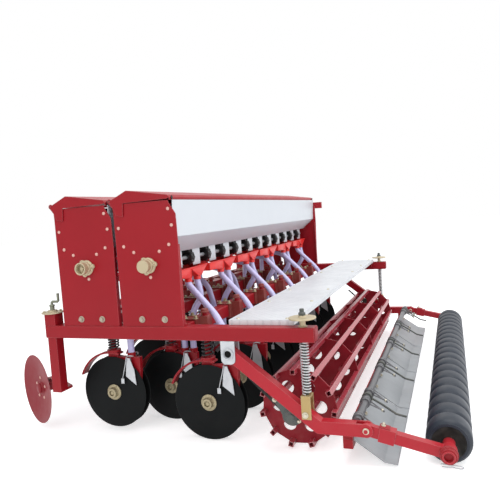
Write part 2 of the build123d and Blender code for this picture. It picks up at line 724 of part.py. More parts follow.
# dished disc with its hub, the rim on the XY plane and the hub upwards
with BuildPart() as dished:
    with BuildSketch(Plane.XZ) as dish_face:
        with BuildLine():
            rise = side_disc_dish
            ThreePointArc((side_disc_radius, 0), (side_disc_radius * 0.55, rise * 0.72), (40, rise))
            Line((40, rise), (0, rise))
            Line((0, rise), (0, rise - side_disc_thickness))
            Line((0, rise - side_disc_thickness), (42, rise - side_disc_thickness))
            ThreePointArc((42, rise - side_disc_thickness),
                          (side_disc_radius * 0.55, rise * 0.72 - side_disc_thickness),
                          (side_disc_radius, -side_disc_thickness / 2))
            Line((side_disc_radius, -side_disc_thickness / 2), (side_disc_radius, 0))
        make_face()
    revolve(axis=Axis.Z)
    with Locations((0, 0, (side_disc_dish + side_hub_end) / 2 - 1)):
        Cylinder(side_hub_radius, side_hub_end - side_disc_dish + 2)
    with Locations((0, 0, side_hub_end)):
        Cylinder(spindle_radius + shaft_gap, 2 * (side_hub_end - side_disc_dish), mode=Mode.SUBTRACT)
for side, word in ((-1, "left"), (1, "right")):
    with BuildPart() as corner_disc:
        with Locations(spindle_plane(side)):
            add(dished.part)
    save(corner_disc, f"corner_disc_{word}")

crank_wire = 6.5
crank_reach = 40.0
crank_height = 96.0
with BuildPart() as cranks:
    with Locations(*spots((-beam_x, beam_x), corner_post_y + 4, corner_top + 3)):
        Box(86, 100, 6)
    for x in (-beam_x, beam_x):
        with BuildLine() as crank_line:
            FilletPolyline((x, corner_post_y + 4, corner_top + 6), (x, corner_post_y + 4, corner_top + 44),
                           (x, corner_post_y + 4 - crank_reach, corner_top + 54),
                           (x, corner_post_y + 4 - crank_reach, corner_top + crank_height), radius=12)
        with BuildSketch(Plane(origin=crank_line.line @ 0, z_dir=(0, 0, 1))):
            Circle(crank_wire)
        sweep()
save(cranks, "corner_cranks")

# ---------------------------------------------------------------- footboard
foot_mid = (foot_front + foot_rear) / 2
foot_depth = foot_front - foot_rear
with BuildPart() as footboard:
    with Locations((0, foot_mid, foot_top - sheet / 2)):
        Box(2 * foot_half, foot_depth, sheet)
    with Locations(*[(0, y, foot_top - foot_fold / 2) for y in (foot_front - sheet / 2, foot_rear + sheet / 2)]):
        Box(2 * foot_half, sheet, foot_fold)
    with Locations(*spots((-foot_half + sheet / 2, foot_half - sheet / 2), foot_mid, foot_top - foot_fold / 2)):
        Box(sheet, foot_depth, foot_fold)
save(footboard, "footboard")

# ---------------------------------------------------------------- depth arms
pivot_tube = 20.0
pivot_bore = 15.0
pivot_width = 64.0
arm_slope = math.degrees(math.atan2(pivot_z - arm_knee_z, pivot_y - arm_knee_y))
arm_slope_length = math.hypot(pivot_z - arm_knee_z, pivot_y - arm_knee_y)
fork_end = 27.0
tongue_room = 26.0
fork_y = hinge_y + tongue_room + 14
with BuildPart() as depth_arms:
    for x in (-arm_x, arm_x):
        with BuildSketch(Plane.YZ.offset(x - arm_width / 2)) as arm_face:
            with Locations(((pivot_y + arm_knee_y) / 2, (pivot_z + arm_knee_z) / 2)):
                SlotCenterToCenter(arm_slope_length, arm_section, rotation=arm_slope)
            with Locations(((arm_knee_y + fork_y) / 2, arm_knee_z)):
                Rectangle(arm_knee_y - fork_y, arm_section)
            with Locations((pivot_y, pivot_z)):
                Circle(pivot_tube + seat_gap, mode=Mode.SUBTRACT)
        extrude(amount=arm_width)
        # fork cheeks round the press frame's tongue
        for cheek_x in (x - arm_width / 2, x + arm_width / 2 - fork_plate):
            with BuildSketch(Plane.YZ.offset(cheek_x)) as fork_face:
                with Locations(((fork_y + 4 + hinge_y) / 2, hinge_z)):
                    Rectangle(fork_y + 4 - hinge_y, arm_section)
                with Locations((hinge_y, hinge_z)):
                    Circle(fork_end)
            extrude(amount=fork_plate)
        with Locations((x, hinge_y, hinge_z)):
            Cylinder(8, arm_width + 20, rotation=(0, 90, 0))
save(depth_arms, "depth_arms")

with BuildPart() as pivot_plates:
    for x in (-arm_x, arm_x):
        for plate_x in (x - arm_width / 2 - seat_gap - 6, x + arm_width / 2 + seat_gap):
            with BuildSketch(Plane.YZ.offset(plate_x)) as pivot_face:
                with Locations((pivot_y, (beam_under + pivot_z) / 2 - 8)):
                    RectangleRounded(pivot_width, beam_under - pivot_z + 72, 20)
                with Locations((pivot_y, beam_under - 10)):
                    Rectangle(pivot_width, 20)
                with Locations((pivot_y, beam_under + 40)):
                    Rectangle(140, 80, mode=Mode.SUBTRACT)
            extrude(amount=6)
        with Locations((x, pivot_y, pivot_z)):
            Cylinder(pivot_tube, arm_width + 2 * seat_gap + 12, rotation=(0, 90, 0))
            Cylinder(pivot_bore, arm_width + 40, rotation=(0, 90, 0), mode=Mode.SUBTRACT)
save(pivot_plates, "pivot_plates")

# bearing plates of the cage roller, inside the arms
bearing_x = arm_x - arm_width / 2
with BuildPart() as bearing_plates:
    for side in (-1, 1):
        plate_x = side * bearing_x if side > 0 else -bearing_x
        with BuildSketch(Plane.YZ.offset(plate_x - (bearing_plate if side > 0 else 0))) as bearing_face:
            with Locations((cage_y, cage_z)):
                Circle(42)
            with BuildLine():
                Polyline((cage_y + 42, cage_z + 4), (cage_y + 92, cage_z + 92), (cage_y - 20, cage_z + 66),
                         (cage_y - 41, cage_z - 4), close=True)
            make_face()
            with Locations((cage_y, cage_z)):
                Circle(cage_axle_radius + shaft_gap, mode=Mode.SUBTRACT)
        extrude(amount=bearing_plate)
save(bearing_plates, "bearing_plates")

# ---------------------------------------------------------------- depth struts
arm_at_strut = arm_knee_z + (strut_y - arm_knee_y) * (pivot_z - arm_knee_z) / (pivot_y - arm_knee_y)
clevis_top = arm_at_strut + clevis_rise
clevis_bottom = arm_at_strut - clevis_drop
with BuildPart() as clevises:
    for x in (-arm_x, arm_x):
        clevis_height = clevis_top - clevis_bottom
        with Locations((x, strut_y, (clevis_top + clevis_bottom) / 2)):
            Box(arm_width + 12, clevis_width, clevis_height)
            with Locations((0, 0, -10)):
                Box(arm_width + 2 * seat_gap, clevis_width + 10, clevis_height, mode=Mode.SUBTRACT)
save(clevises, "strut_clevises")

strut_spring_bottom = clevis_top + seat_gap
strut_spring_height = beam_under - seat_gap - strut_spring_bottom
with BuildPart() as strut_springs:
    with Locations(*spots((-arm_x, arm_x), strut_y, strut_spring_bottom)):
        add(coil(strut_spring_height, strut_spring_radius, strut_spring_inner, strut_turns))
save(strut_springs, "strut_springs")

wheel_z = beam_top + 32
with BuildPart() as handwheels:
    strut_rod_length = beam_top + 74 - clevis_top
    with Locations(*spots((-arm_x, arm_x), strut_y, clevis_top + strut_rod_length / 2)):
        Cylinder(strut_rod_radius, strut_rod_length)
    with Locations(*spots((-arm_x, arm_x), strut_y, (beam_top + wheel_z) / 2)):
        Cylinder(handwheel_hub, wheel_z - beam_top)
    with Locations(*spots((-arm_x, arm_x), strut_y, wheel_z + handwheel_rim / 2)):
        Cylinder(handwheel_radius, handwheel_rim)
save(handwheels, "strut_handwheels")

# ---------------------------------------------------------------- cage roller
cage_half = bearing_x - bearing_plate - cage_end_room
with BuildPart() as cage_tubes:
    with BuildSketch(Plane.YZ.offset(-cage_half)) as bar_face:
        with Locations((cage_y, cage_z)):
            with PolarLocations(cage_bar_circle, cage_bars, start_angle=cage_turn):
                Rectangle(cage_bar, cage_bar)
                Rectangle(cage_bar - 2 * cage_bar_wall, cage_bar - 2 * cage_bar_wall, mode=Mode.SUBTRACT)
    extrude(amount=2 * cage_half)
save(cage_tubes, "cage_bars")

with BuildPart() as cage_discs:
    end_plate_x = cage_half - cage_plate_inset
    for number in range(cage_plates):
        plate_x = -end_plate_x + number * (2 * end_plate_x - cage_plate) / (cage_plates - 1)
        with BuildSketch(Plane.YZ.offset(plate_x)) as cage_face:
            with BuildLine():
                turns = [math.radians(cage_turn + i * 360 / cage_bars) for i in range(cage_bars)]
                Polyline(*[(cage_y + cage_corner * math.cos(a), cage_z + cage_corner * math.sin(a)) for a in turns],
                         close=True)
            make_face()
            with Locations((cage_y, cage_z)):
                with PolarLocations(cage_bar_circle, cage_bars, start_angle=cage_turn):
                    Rectangle(cage_bar + 2 * seat_gap, cage_bar + 2 * seat_gap, mode=Mode.SUBTRACT)
                with PolarLocations(cage_hole_circle, cage_holes):
                    Circle(cage_hole_radius, mode=Mode.SUBTRACT)
        extrude(amount=cage_plate)
    # stub axles out through the bearing plates
    for side in (-1, 1):
        stub_start = end_plate_x - cage_plate
        stub_end = bearing_x + 8
        with Locations((side * (stub_start + stub_end) / 2, cage_y, cage_z)):
            Cylinder(cage_axle_radius, stub_end - stub_start, rotation=(0, 90, 0))
save(cage_discs, "cage_plates")

# ---------------------------------------------------------------- tine pipe and boards
arm_inner = arm_x - arm_width / 2
with BuildPart() as tine_pipe:
    with Locations((0, pipe_y, pipe_z)):
        Cylinder(pipe_radius, 2 * arm_inner, rotation=(0, 90, 0))
save(tine_pipe, "tine_pipe")

with BuildPart() as board_beam:
    with Locations((0, board_beam_y, board_beam_z)):
        Box(2 * (arm_x - 14), board_beam_side, board_beam_side)
    hanger_bottom = board_beam_z + board_beam_side / 2
    hanger_top = arm_knee_z - arm_section / 2
    with Locations(*spots((-arm_x + 20, arm_x - 20), board_beam_y, (hanger_bottom + hanger_top) / 2)):
        Box(8, board_beam_side, hanger_top - hanger_bottom)
save(board_beam, "board_beam")

board_width = (2 * board_half - (boards - 1) * board_gap) / boards
board_xs = [-board_half + board_width / 2 + i * (board_width + board_gap) for i in range(boards)]
board_top_y = board_beam_y - board_beam_side / 2
board_top_z = board_beam_z + board_beam_side / 2 - 6
with BuildPart() as levelling_boards:
    for x in board_xs:
        with BuildSketch(Plane.YZ.offset(x - board_width / 2)) as board_face:
            with BuildLine():
                Polyline((board_top_y, board_top_z), (board_rear_y, board_rear_z),
                         (board_rear_y - board_lip, board_rear_z - 6),
                         (board_rear_y - board_lip, board_rear_z - 6 + board_thickness),
                         (board_rear_y + 1, board_rear_z + board_thickness),
                         (board_top_y - 2, board_top_z + board_thickness),
                         (board_top_y, board_top_z + board_thickness), close=True)
            make_face()
        extrude(amount=board_width)
save(levelling_boards, "levelling_boards")

# collars on the pipe, each with two thin rods, and a bent stay between every two collars
group_pitch = 510.0
group_xs = [75 + i * group_pitch for i in range(-2, 3)]
end_collar_x = -arm_x + 60
collar_offset = 60.0
collar_length = 30.0
collar_radius = 24.0
ring_length = 14.0
wire_radius = 3.25
wire_half_gap = 11.0
wire_ends = ((-845.0, 147.0), (-842.0, 134.0))
stay_radius = 5.0
stay_points = [(pipe_y - 21, pipe_z - 3), (-889.0, 108.0), (-930.0, 100.0)]
with BuildPart() as board_springs:
    for x in [x + side * collar_offset for x in group_xs for side in (-1, 1)] + [end_collar_x]:
        with Locations((x, pipe_y, pipe_z)):
            Cylinder(collar_radius, collar_length, rotation=(0, 90, 0))
        for side, (wire_y, wire_z) in zip((-1, 1), wire_ends):
            start = Vector(x + side * wire_half_gap, pipe_y - 19, pipe_z + side * 3)
            direction = Vector(x + side * wire_half_gap, wire_y, wire_z) - start
            with BuildSketch(Plane(origin=start, z_dir=direction)) as wire_face:
                Circle(wire_radius)
            extrude(amount=direction.length)
    for x in group_xs:
        with Locations((x, pipe_y, pipe_z)):
            Cylinder(collar_radius, ring_length, rotation=(0, 90, 0))
        with BuildLine() as stay_line:
            FilletPolyline(*[(x, y, z) for y, z in stay_points], radius=25)
        with BuildSketch(Plane(origin=stay_line.line @ 0, z_dir=stay_line.line % 0)) as stay_face:
            Circle(stay_radius)
        sweep()
    with Locations((0, pipe_y, pipe_z)):
        Cylinder(pipe_radius + seat_gap, 2 * arm_x, rotation=(0, 90, 0), mode=Mode.SUBTRACT)
save(board_springs, "board_springs")

# ---------------------------------------------------------------- rear arms and ribbed roller
press_z = press_radius
rear_slope = math.degrees(math.atan2(hinge_z - press_z, hinge_y - press_y))
rear_length = math.hypot(hinge_z - press_z, hinge_y - press_y)
tongue_half = arm_width / 2 - fork_plate - 1
tongue_radius = 23.0
sleeve_start = 50.0      # from the hinge, along the arm
sleeve_length = 62.0
sleeve_height = 56.0
press_axle_end = arm_x + 46
press_half = arm_x - (rear_arm_width + arm_boss) / 2 - press_end_room
with BuildPart() as rear_arms:
    for x in (-arm_x, arm_x):
        for start, length, width, height in ((0, sleeve_start + 2, 2 * tongue_half, 2 * tongue_radius),
                                             (sleeve_start, sleeve_length, arm_width, sleeve_height),
                                             (sleeve_start + sleeve_length - 1, rear_length - sleeve_start - sleeve_length + 1,
                                              rear_arm_width, rear_arm_height)):
            middle = (start + length / 2) / rear_length
            with BuildSketch(Plane.YZ.offset(x - width / 2)) as rear_face:
                with Locations((hinge_y + (press_y - hinge_y) * middle, hinge_z + (press_z - hinge_z) * middle)):
                    Rectangle(length, height, rotation=rear_slope)
                if start == 0:
                    with Locations((hinge_y, hinge_z)):
                        Circle(tongue_radius)
            extrude(amount=width)
        with Locations((x, hinge_y, hinge_z)):
            Cylinder(8 + shaft_gap, arm_width + 40, rotation=(0, 90, 0), mode=Mode.SUBTRACT)
    with Locations((0, press_y, press_z)):
        Cylinder(press_axle_radius, 2 * press_axle_end, rotation=(0, 90, 0))
    for side in (-1, 1):
        with Locations((side * arm_x, press_y, press_z)):
            Cylinder(press_axle_radius + 7, rear_arm_width + arm_boss, rotation=(0, 90, 0))
        with Locations((side * press_axle_end, press_y, press_z)):
            Cylinder(press_axle_radius - 6, 60, rotation=(0, 90, 0), mode=Mode.SUBTRACT)
save(rear_arms, "rear_arms")

ring_pitch = 2 * press_half / press_rings
web_inset = 70.0
web = 18.0
with BuildPart() as press_roller:
    with BuildSketch(Plane(origin=(0, press_y, press_z), x_dir=(1, 0, 0), z_dir=(0, 0, 1))) as ring_face:
        with BuildLine():
            outline = [(-press_half, press_core_radius)]
            for ring in range(press_rings):
                ring_start = -press_half + ring * ring_pitch
                outline += [(ring_start, press_radius - 8), (ring_start + 0.18 * ring_pitch, press_radius),
                            (ring_start + 0.82 * ring_pitch, press_radius)]
            outline += [(press_half, press_radius - 8), (press_half, press_core_radius)]
            Polyline(*outline, close=True)
        make_face()
        for side in (-1, 1):
            with Locations((side * (press_half - web_inset), (press_core_radius + press_axle_radius + shaft_gap) / 2 + 1)):
                Rectangle(web, press_core_radius - press_axle_radius - shaft_gap + 2)
    revolve(axis=Axis((0, press_y, press_z), (1, 0, 0)))
save(press_roller, "press_roller")

# ---------------------------------------------------------------- metering drive, on the right end plates
drive_radius = 44.0
drive_case_width = 34.0
drive_start = end_half + seat_gap
with BuildPart() as drive_case:
    with BuildSketch(Plane.YZ.offset(drive_start)) as case_face:
        with Locations((sum(meter_ys.values()) / 2, meter_z)):
            SlotCenterToCenter(meter_ys["front"] - meter_ys["rear"], 2 * drive_radius)
    extrude(amount=drive_case_width)
    # motor on the fertiliser shaft, as far out as the rate knobs on the other side
    motor_length = knob_reach - drive_case_width - seat_gap
    with Locations((drive_start + drive_case_width + motor_length / 2, meter_ys["front"], meter_z)):
        Cylinder(knob_radius, motor_length, rotation=(0, 90, 0))
save(drive_case, "drive_case")
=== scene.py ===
"""Looks for a mounted twelve-row seed drill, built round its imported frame.
Metres, +X to the machine's right, +Y forwards to the tractor, +Z up from the ground."""
import json
import math

import bpy
from mathutils import Matrix, Vector


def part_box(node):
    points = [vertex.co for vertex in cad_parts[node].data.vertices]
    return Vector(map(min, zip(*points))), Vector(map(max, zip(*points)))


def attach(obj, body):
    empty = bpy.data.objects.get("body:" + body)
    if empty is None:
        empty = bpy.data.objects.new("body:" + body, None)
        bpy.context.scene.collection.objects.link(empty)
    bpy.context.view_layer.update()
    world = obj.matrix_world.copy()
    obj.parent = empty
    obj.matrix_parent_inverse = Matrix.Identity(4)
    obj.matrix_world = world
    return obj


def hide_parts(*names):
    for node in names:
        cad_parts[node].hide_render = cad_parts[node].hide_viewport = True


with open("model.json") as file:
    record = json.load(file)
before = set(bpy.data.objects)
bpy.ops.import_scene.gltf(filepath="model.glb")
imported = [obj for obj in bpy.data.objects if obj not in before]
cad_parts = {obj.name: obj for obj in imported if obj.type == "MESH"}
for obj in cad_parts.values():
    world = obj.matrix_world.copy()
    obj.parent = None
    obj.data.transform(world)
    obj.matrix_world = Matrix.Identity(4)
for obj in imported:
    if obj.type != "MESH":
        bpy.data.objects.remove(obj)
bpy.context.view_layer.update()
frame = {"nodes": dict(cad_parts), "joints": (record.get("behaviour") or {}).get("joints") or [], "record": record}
nodes = frame["nodes"]

# ---------------------------------------------------------------- places taken from the frame, in millimetres
MM = 0.001
joint_at = {joint["child"]: Vector(joint["pos_m"]) / MM for joint in frame["joints"]}
joint_axis = {joint["child"]: Vector(joint["axis"]) for joint in frame["joints"]}
rows = {rank: [joint_at[f"discs_{rank}_{i}"] for i in range(1, 7)] for rank in ("front", "middle", "rear")}
hubs = [hub for rank in rows.values() for hub in rank]
shaft_y = {"front": joint_at["fertiliser_shaft"].y, "rear": joint_at["seed_shaft"].y}
SHAFT_Z = 842          # height of both metering shafts
SHAFT_LAG = 6          # how far a shaft is behind the middle of its hopper
BEAM_X = 1250          # from the machine's middle to the middle of a side beam, an arm or a strut


# ---------------------------------------------------------------- camera, floor and light
def camera():
    bpy.ops.object.camera_add(location=(-3.341, -1.152, 1.035),
                              rotation=[math.radians(a) for a in (86.260, 3.983, -69.584)])
    lens = bpy.context.object
    lens.name = "camera"
    lens.data.sensor_width = 36.0
    lens.data.lens = 38.77
    lens.data.clip_start = 0.05
    lens.data.clip_end = 200.0
    bpy.context.scene.camera = lens


def maths(tree, operation, a, b=0.0, clamp=False):
    node = tree.nodes.new("ShaderNodeMath")
    node.operation = operation
    node.use_clamp = clamp
    for socket, value in zip(node.inputs, (a, b)):
        if isinstance(value, (int, float)):
            socket.default_value = value
        else:
            tree.links.new(value, socket)
    return node.outputs[0]


def clear_sight(tree):
    """One for what the camera sees, straight or in a mirror or through glass, and nothing for other light."""
    path = tree.nodes.new("ShaderNodeLightPath")
    straight = maths(tree, "ADD", path.outputs["Is Camera Ray"], path.outputs["Is Glossy Ray"])
    return maths(tree, "ADD", straight, path.outputs["Is Transmission Ray"], clamp=True)


def floor_and_sky():
    """A pale floor that keeps the machine's shadow, and an even pale sky."""
    bpy.ops.mesh.primitive_plane_add(size=60.0, location=(0, 0, -0.002))
    floor = bpy.context.object
    floor.name = "floor"
    paint = bpy.data.materials.new("floor_white")
    paint.use_nodes = True
    tree = paint.node_tree
    tree.nodes.clear()
    out = tree.nodes.new("ShaderNodeOutputMaterial")
    matt = tree.nodes.new("ShaderNodeBsdfDiffuse")
    matt.inputs["Color"].default_value = (0.86, 0.86, 0.86, 1)
    glow = tree.nodes.new("ShaderNodeEmission")
    glow.inputs["Color"].default_value = (1, 1, 1, 1)
    glow.inputs["Strength"].default_value = 0.55
    add = tree.nodes.new("ShaderNodeAddShader")
    choose = tree.nodes.new("ShaderNodeMixShader")
    tree.links.new(matt.outputs[0], add.inputs[0])
    tree.links.new(glow.outputs[0], add.inputs[1])
    tree.links.new(clear_sight(tree), choose.inputs[0])
    tree.links.new(matt.outputs[0], choose.inputs[1])
    tree.links.new(add.outputs[0], choose.inputs[2])
    tree.links.new(choose.outputs[0], out.inputs[0])
    floor.data.materials.append(paint)

    sky = bpy.data.worlds.new("studio")
    bpy.context.scene.world = sky
    sky.use_nodes = True
    tree = sky.node_tree
    tree.nodes.clear()
    out = tree.nodes.new("ShaderNodeOutputWorld")
    dome = tree.nodes.new("ShaderNodeBackground")
    dome.inputs["Color"].default_value = (0.93, 0.96, 1.0, 1)
    dome.inputs["Strength"].default_value = 0.62
    white = tree.nodes.new("ShaderNodeBackground")
    white.inputs["Color"].default_value = (1, 1, 1, 1)
    choose = tree.nodes.new("ShaderNodeMixShader")
    tree.links.new(clear_sight(tree), choose.inputs[0])
    tree.links.new(dome.outputs[0], choose.inputs[1])
    tree.links.new(white.outputs[0], choose.inputs[2])
    tree.links.new(choose.outputs[0], out.inputs[0])


def lamp(name, place, target, size, power, colour=(1, 1, 1)):
    bpy.ops.object.light_add(type="AREA", location=place)
    light = bpy.context.object
    light.name = name
    light.data.size = size
    light.data.energy = power
    light.data.color = colour
    light.rotation_euler = (Vector(target) - Vector(place)).to_track_quat("-Z", "Y").to_euler()


camera()
floor_and_sky()
lamp("overhead", (-0.6, -1.5, 5.5), (0, 0, 0.5), 5.0, 190.0)
lamp("side", (-6.0, 1.0, 3.2), (0, 0, 0.6), 4.0, 95.0, (1.0, 0.98, 0.95))
lamp("behind", (2.5, -6.0, 3.5), (0, 0, 0.5), 4.0, 120.0)
lamp("low", (-2.5, -5.0, 0.35), (0, 0.1, 0.8), 2.5, 60.0)
bpy.context.scene.view_settings.view_transform = "Standard"


# ---------------------------------------------------------------- shader groups
def group(name, inputs, outputs):
    """A new shader node group with the named sockets; returns its tree and its two end nodes."""
    tree = bpy.data.node_groups.new(name, "ShaderNodeTree")
    for label, kind, value in inputs:
        socket = tree.interface.new_socket(name=label, in_out="INPUT", socket_type=kind)
        socket.default_value = value
    for label, kind in outputs:
        tree.interface.new_socket(name=label, in_out="OUTPUT", socket_type=kind)
    return tree, tree.nodes.new("NodeGroupInput"), tree.nodes.new("NodeGroupOutput")


def blend_colours(tree, mode, factor, a, b):
    node = tree.nodes.new("ShaderNodeMix")
    node.data_type = "RGBA"
    node.blend_type = mode
    for socket, value in zip((node.inputs[0], node.inputs[6], node.inputs[7]), (factor, a, b)):
        if isinstance(value, (int, float, tuple)):
            socket.default_value = value
        else:
            tree.links.new(value, socket)
    return node.outputs[2]


def noise(tree, where, scale, detail=3.0, roughness=0.5):
    node = tree.nodes.new("ShaderNodeTexNoise")
    tree.links.new(where, node.inputs["Vector"])
    node.inputs["Detail"].default_value = detail
    node.inputs["Roughness"].default_value = roughness
    if isinstance(scale, (int, float)):
        node.inputs["Scale"].default_value = scale
    else:
        tree.links.new(scale, node.inputs["Scale"])
    return node.outputs["Fac"]


def ramp(tree, value, low, high):
    node = tree.nodes.new("ShaderNodeMapRange")
    tree.links.new(value, node.inputs["Value"])
    node.inputs["From Min"].default_value = low
    node.inputs["From Max"].default_value = high
    return node.outputs["Result"]


def object_place(tree):
    return tree.nodes.new("ShaderNodeTexCoord").outputs["Object"]


COLOUR, NUMBER, VECTOR = "NodeSocketColor", "NodeSocketFloat", "NodeSocketVector"


def make_colour_drift():
    """Soft patches of a slightly lighter or darker shade, as real paint and plastic have."""
    tree, start, end = group("colour_drift", [("Color", COLOUR, (0.5, 0.5, 0.5, 1)), ("Scale", NUMBER, 3.0),
                                              ("Amount", NUMBER, 0.15)], [("Color", COLOUR)])
    patch = noise(tree, object_place(tree), start.outputs["Scale"], 4.0, 0.55)
    centred = maths(tree, "SUBTRACT", patch, 0.5)
    gain = maths(tree, "MULTIPLY", centred, start.outputs["Amount"])
    level = maths(tree, "ADD", maths(tree, "MULTIPLY", gain, 2.0), 1.0)
    scale = tree.nodes.new("ShaderNodeVectorMath")
    scale.operation = "SCALE"
    tree.links.new(start.outputs["Color"], scale.inputs[0])
    tree.links.new(level, scale.inputs["Scale"])
    tree.links.new(scale.outputs[0], end.inputs["Color"])
    return tree


def make_soil_dust():
    """Pale dust that settles on faces that look up, and thickens towards the ground."""
    tree, start, end = group("soil_dust", [("Color", COLOUR, (0.5, 0.5, 0.5, 1)),
                                           ("Dust", COLOUR, (0.42, 0.36, 0.30, 1)),
                                           ("Amount", NUMBER, 0.3), ("Reach", NUMBER, 0.5)],
                              [("Color", COLOUR), ("Mask", NUMBER)])
    where = object_place(tree)
    split = tree.nodes.new("ShaderNodeSeparateXYZ")
    tree.links.new(where, split.inputs[0])
    normal = tree.nodes.new("ShaderNodeNewGeometry")
    facing = tree.nodes.new("ShaderNodeSeparateXYZ")
    tree.links.new(normal.outputs["Normal"], facing.inputs[0])
    low = maths(tree, "DIVIDE", split.outputs["Z"], start.outputs["Reach"])
    near_ground = maths(tree, "SUBTRACT", 1.0, low, clamp=True)
    upward = maths(tree, "MAXIMUM", facing.outputs["Z"], 0.0)
    settled = maths(tree, "ADD", maths(tree, "MULTIPLY", upward, 0.6), near_ground)
    patch = ramp(tree, noise(tree, where, 14.0, 6.0, 0.65), 0.42, 0.72)
    mask = maths(tree, "MULTIPLY", maths(tree, "MULTIPLY", settled, patch), start.outputs["Amount"], clamp=True)
    colour = blend_colours(tree, "MIX", mask, start.outputs["Color"], start.outputs["Dust"])
    tree.links.new(colour, end.inputs["Color"])
    tree.links.new(mask, end.inputs["Mask"])
    return tree


def make_round_edges():
    """Edges rounded in the shading, and a mask of them for a painted highlight along the edges."""
    tree, start, end = group("round_edges", [("Gain", NUMBER, 4.0)], [("Normal", VECTOR), ("Mask", NUMBER)])
    bevel = tree.nodes.new("ShaderNodeBevel")
    bevel.samples = 4
    bevel.inputs["Radius"].default_value = 0.0035
    normal = tree.nodes.new("ShaderNodeNewGeometry")
    dot = tree.nodes.new("ShaderNodeVectorMath")
    dot.operation = "DOT_PRODUCT"
    tree.links.new(bevel.outputs[0], dot.inputs[0])
    tree.links.new(normal.outputs["Normal"], dot.inputs[1])
    turned_away = maths(tree, "SUBTRACT", 1.0, dot.outputs["Value"])
    mask = maths(tree, "MULTIPLY", turned_away, start.outputs["Gain"], clamp=True)
    tree.links.new(bevel.outputs[0], end.inputs["Normal"])
    tree.links.new(mask, end.inputs["Mask"])
    return tree


def make_fine_grain():
    """A small even relief, such as orange peel in paint or the skin of cast metal."""
    tree, start, end = group("fine_grain", [("Scale", NUMBER, 300.0), ("Amount", NUMBER, 0.2)],
                              [("Height", NUMBER), ("Rough", NUMBER)])
    grain = noise(tree, object_place(tree), start.outputs["Scale"], 3.0, 0.6)
    tree.links.new(maths(tree, "MULTIPLY", grain, start.outputs["Amount"]), end.inputs["Height"])
    smear = noise(tree, object_place(tree), 9.0, 5.0, 0.7)
    tree.links.new(maths(tree, "MULTIPLY", maths(tree, "SUBTRACT", smear, 0.5), 0.35), end.inputs["Rough"])
    return tree


drift, dust, edges, grain = make_colour_drift(), make_soil_dust(), make_round_edges(), make_fine_grain()


# ---------------------------------------------------------------- finishes
def finish(name, colour, rough, metal=0.0, vary=(3.0, 0.12), dusty=(0.15, 0.5), edge_highlight=None, relief=(400.0, 0.15),
           coat=0.0, relief_depth=0.0004, shine=0.5, extra=None):
    """A finish with drifting colour, dust, rounded edges and fine relief.
    edge_highlight is (colour, strength) of a painted highlight along the edges; extra changes the colour and the height
    before they are used."""
    paint = bpy.data.materials.new(name)
    paint.use_nodes = True
    tree = paint.node_tree
    shader = tree.nodes["Principled BSDF"]
    shader.inputs["Metallic"].default_value = metal
    shader.inputs["Specular IOR Level"].default_value = shine
    if coat:
        shader.inputs["Coat Weight"].default_value = coat
        shader.inputs["Coat Roughness"].default_value = 0.12

    def place(what):
        node = tree.nodes.new("ShaderNodeGroup")
        node.node_tree = what
        return node

    shade = place(drift)
    shade.inputs["Color"].default_value = (*colour, 1)
    shade.inputs["Scale"].default_value, shade.inputs["Amount"].default_value = vary
    tint = shade.outputs["Color"]
    skin = place(grain)
    skin.inputs["Scale"].default_value, skin.inputs["Amount"].default_value = relief
    height = skin.outputs["Height"]
    if extra:
        tint, height = extra(tree, tint, height)
    round_off = place(edges)
    # lightens the edges with a painted highlight, standing in for the shine of light on rounded edges
    if edge_highlight:
        mask = maths(tree, "MULTIPLY", round_off.outputs["Mask"], edge_highlight[1])
        tint = blend_colours(tree, "MIX", mask, tint, (*edge_highlight[0], 1))
    soil = place(dust)
    tree.links.new(tint, soil.inputs["Color"])
    soil.inputs["Amount"].default_value, soil.inputs["Reach"].default_value = dusty
    tree.links.new(soil.outputs["Color"], shader.inputs["Base Color"])
    dull = maths(tree, "ADD", maths(tree, "MULTIPLY", soil.outputs["Mask"], 0.5), rough)
    tree.links.new(maths(tree, "ADD", dull, skin.outputs["Rough"], clamp=True), shader.inputs["Roughness"])
    bump = tree.nodes.new("ShaderNodeBump")
    bump.inputs["Distance"].default_value = relief_depth
    bump.inputs["Strength"].default_value = 0.6
    tree.links.new(height, bump.inputs["Height"])
    tree.links.new(round_off.outputs["Normal"], bump.inputs["Normal"])
    tree.links.new(bump.outputs[0], shader.inputs["Normal"])
    return paint


def tread_pattern(tree, tint, height):
    """Short raised ribs in two directions, row by row, as on tread plate."""
    where = object_place(tree)
    split = tree.nodes.new("ShaderNodeSeparateXYZ")
    tree.links.new(where, split.inputs[0])
    along = maths(tree, "MULTIPLY", split.outputs["X"], 28.0)
    across = maths(tree, "MULTIPLY", split.outputs["Y"], 28.0)
    one = maths(tree, "SINE", maths(tree, "MULTIPLY", maths(tree, "ADD", along, across), math.pi))
    other = maths(tree, "SINE", maths(tree, "MULTIPLY", maths(tree, "SUBTRACT", along, across), math.pi))
    ribs = ramp(tree, maths(tree, "MAXIMUM", maths(tree, "MULTIPLY", one, one),
                            maths(tree, "MULTIPLY", other, other)), 0.93, 0.99)
    marks = ramp(tree, noise(tree, where, 11.0, 8.0, 0.7), 0.35, 0.75)
    tint = blend_colours(tree, "MULTIPLY", maths(tree, "MULTIPLY", ribs, 0.3), tint, (0.72, 0.73, 0.75, 1))
    tint = blend_colours(tree, "MULTIPLY", maths(tree, "MULTIPLY", marks, 0.4), tint, (0.62, 0.62, 0.66, 1))
    return tint, maths(tree, "ADD", height, maths(tree, "MULTIPLY", ribs, 2.0))


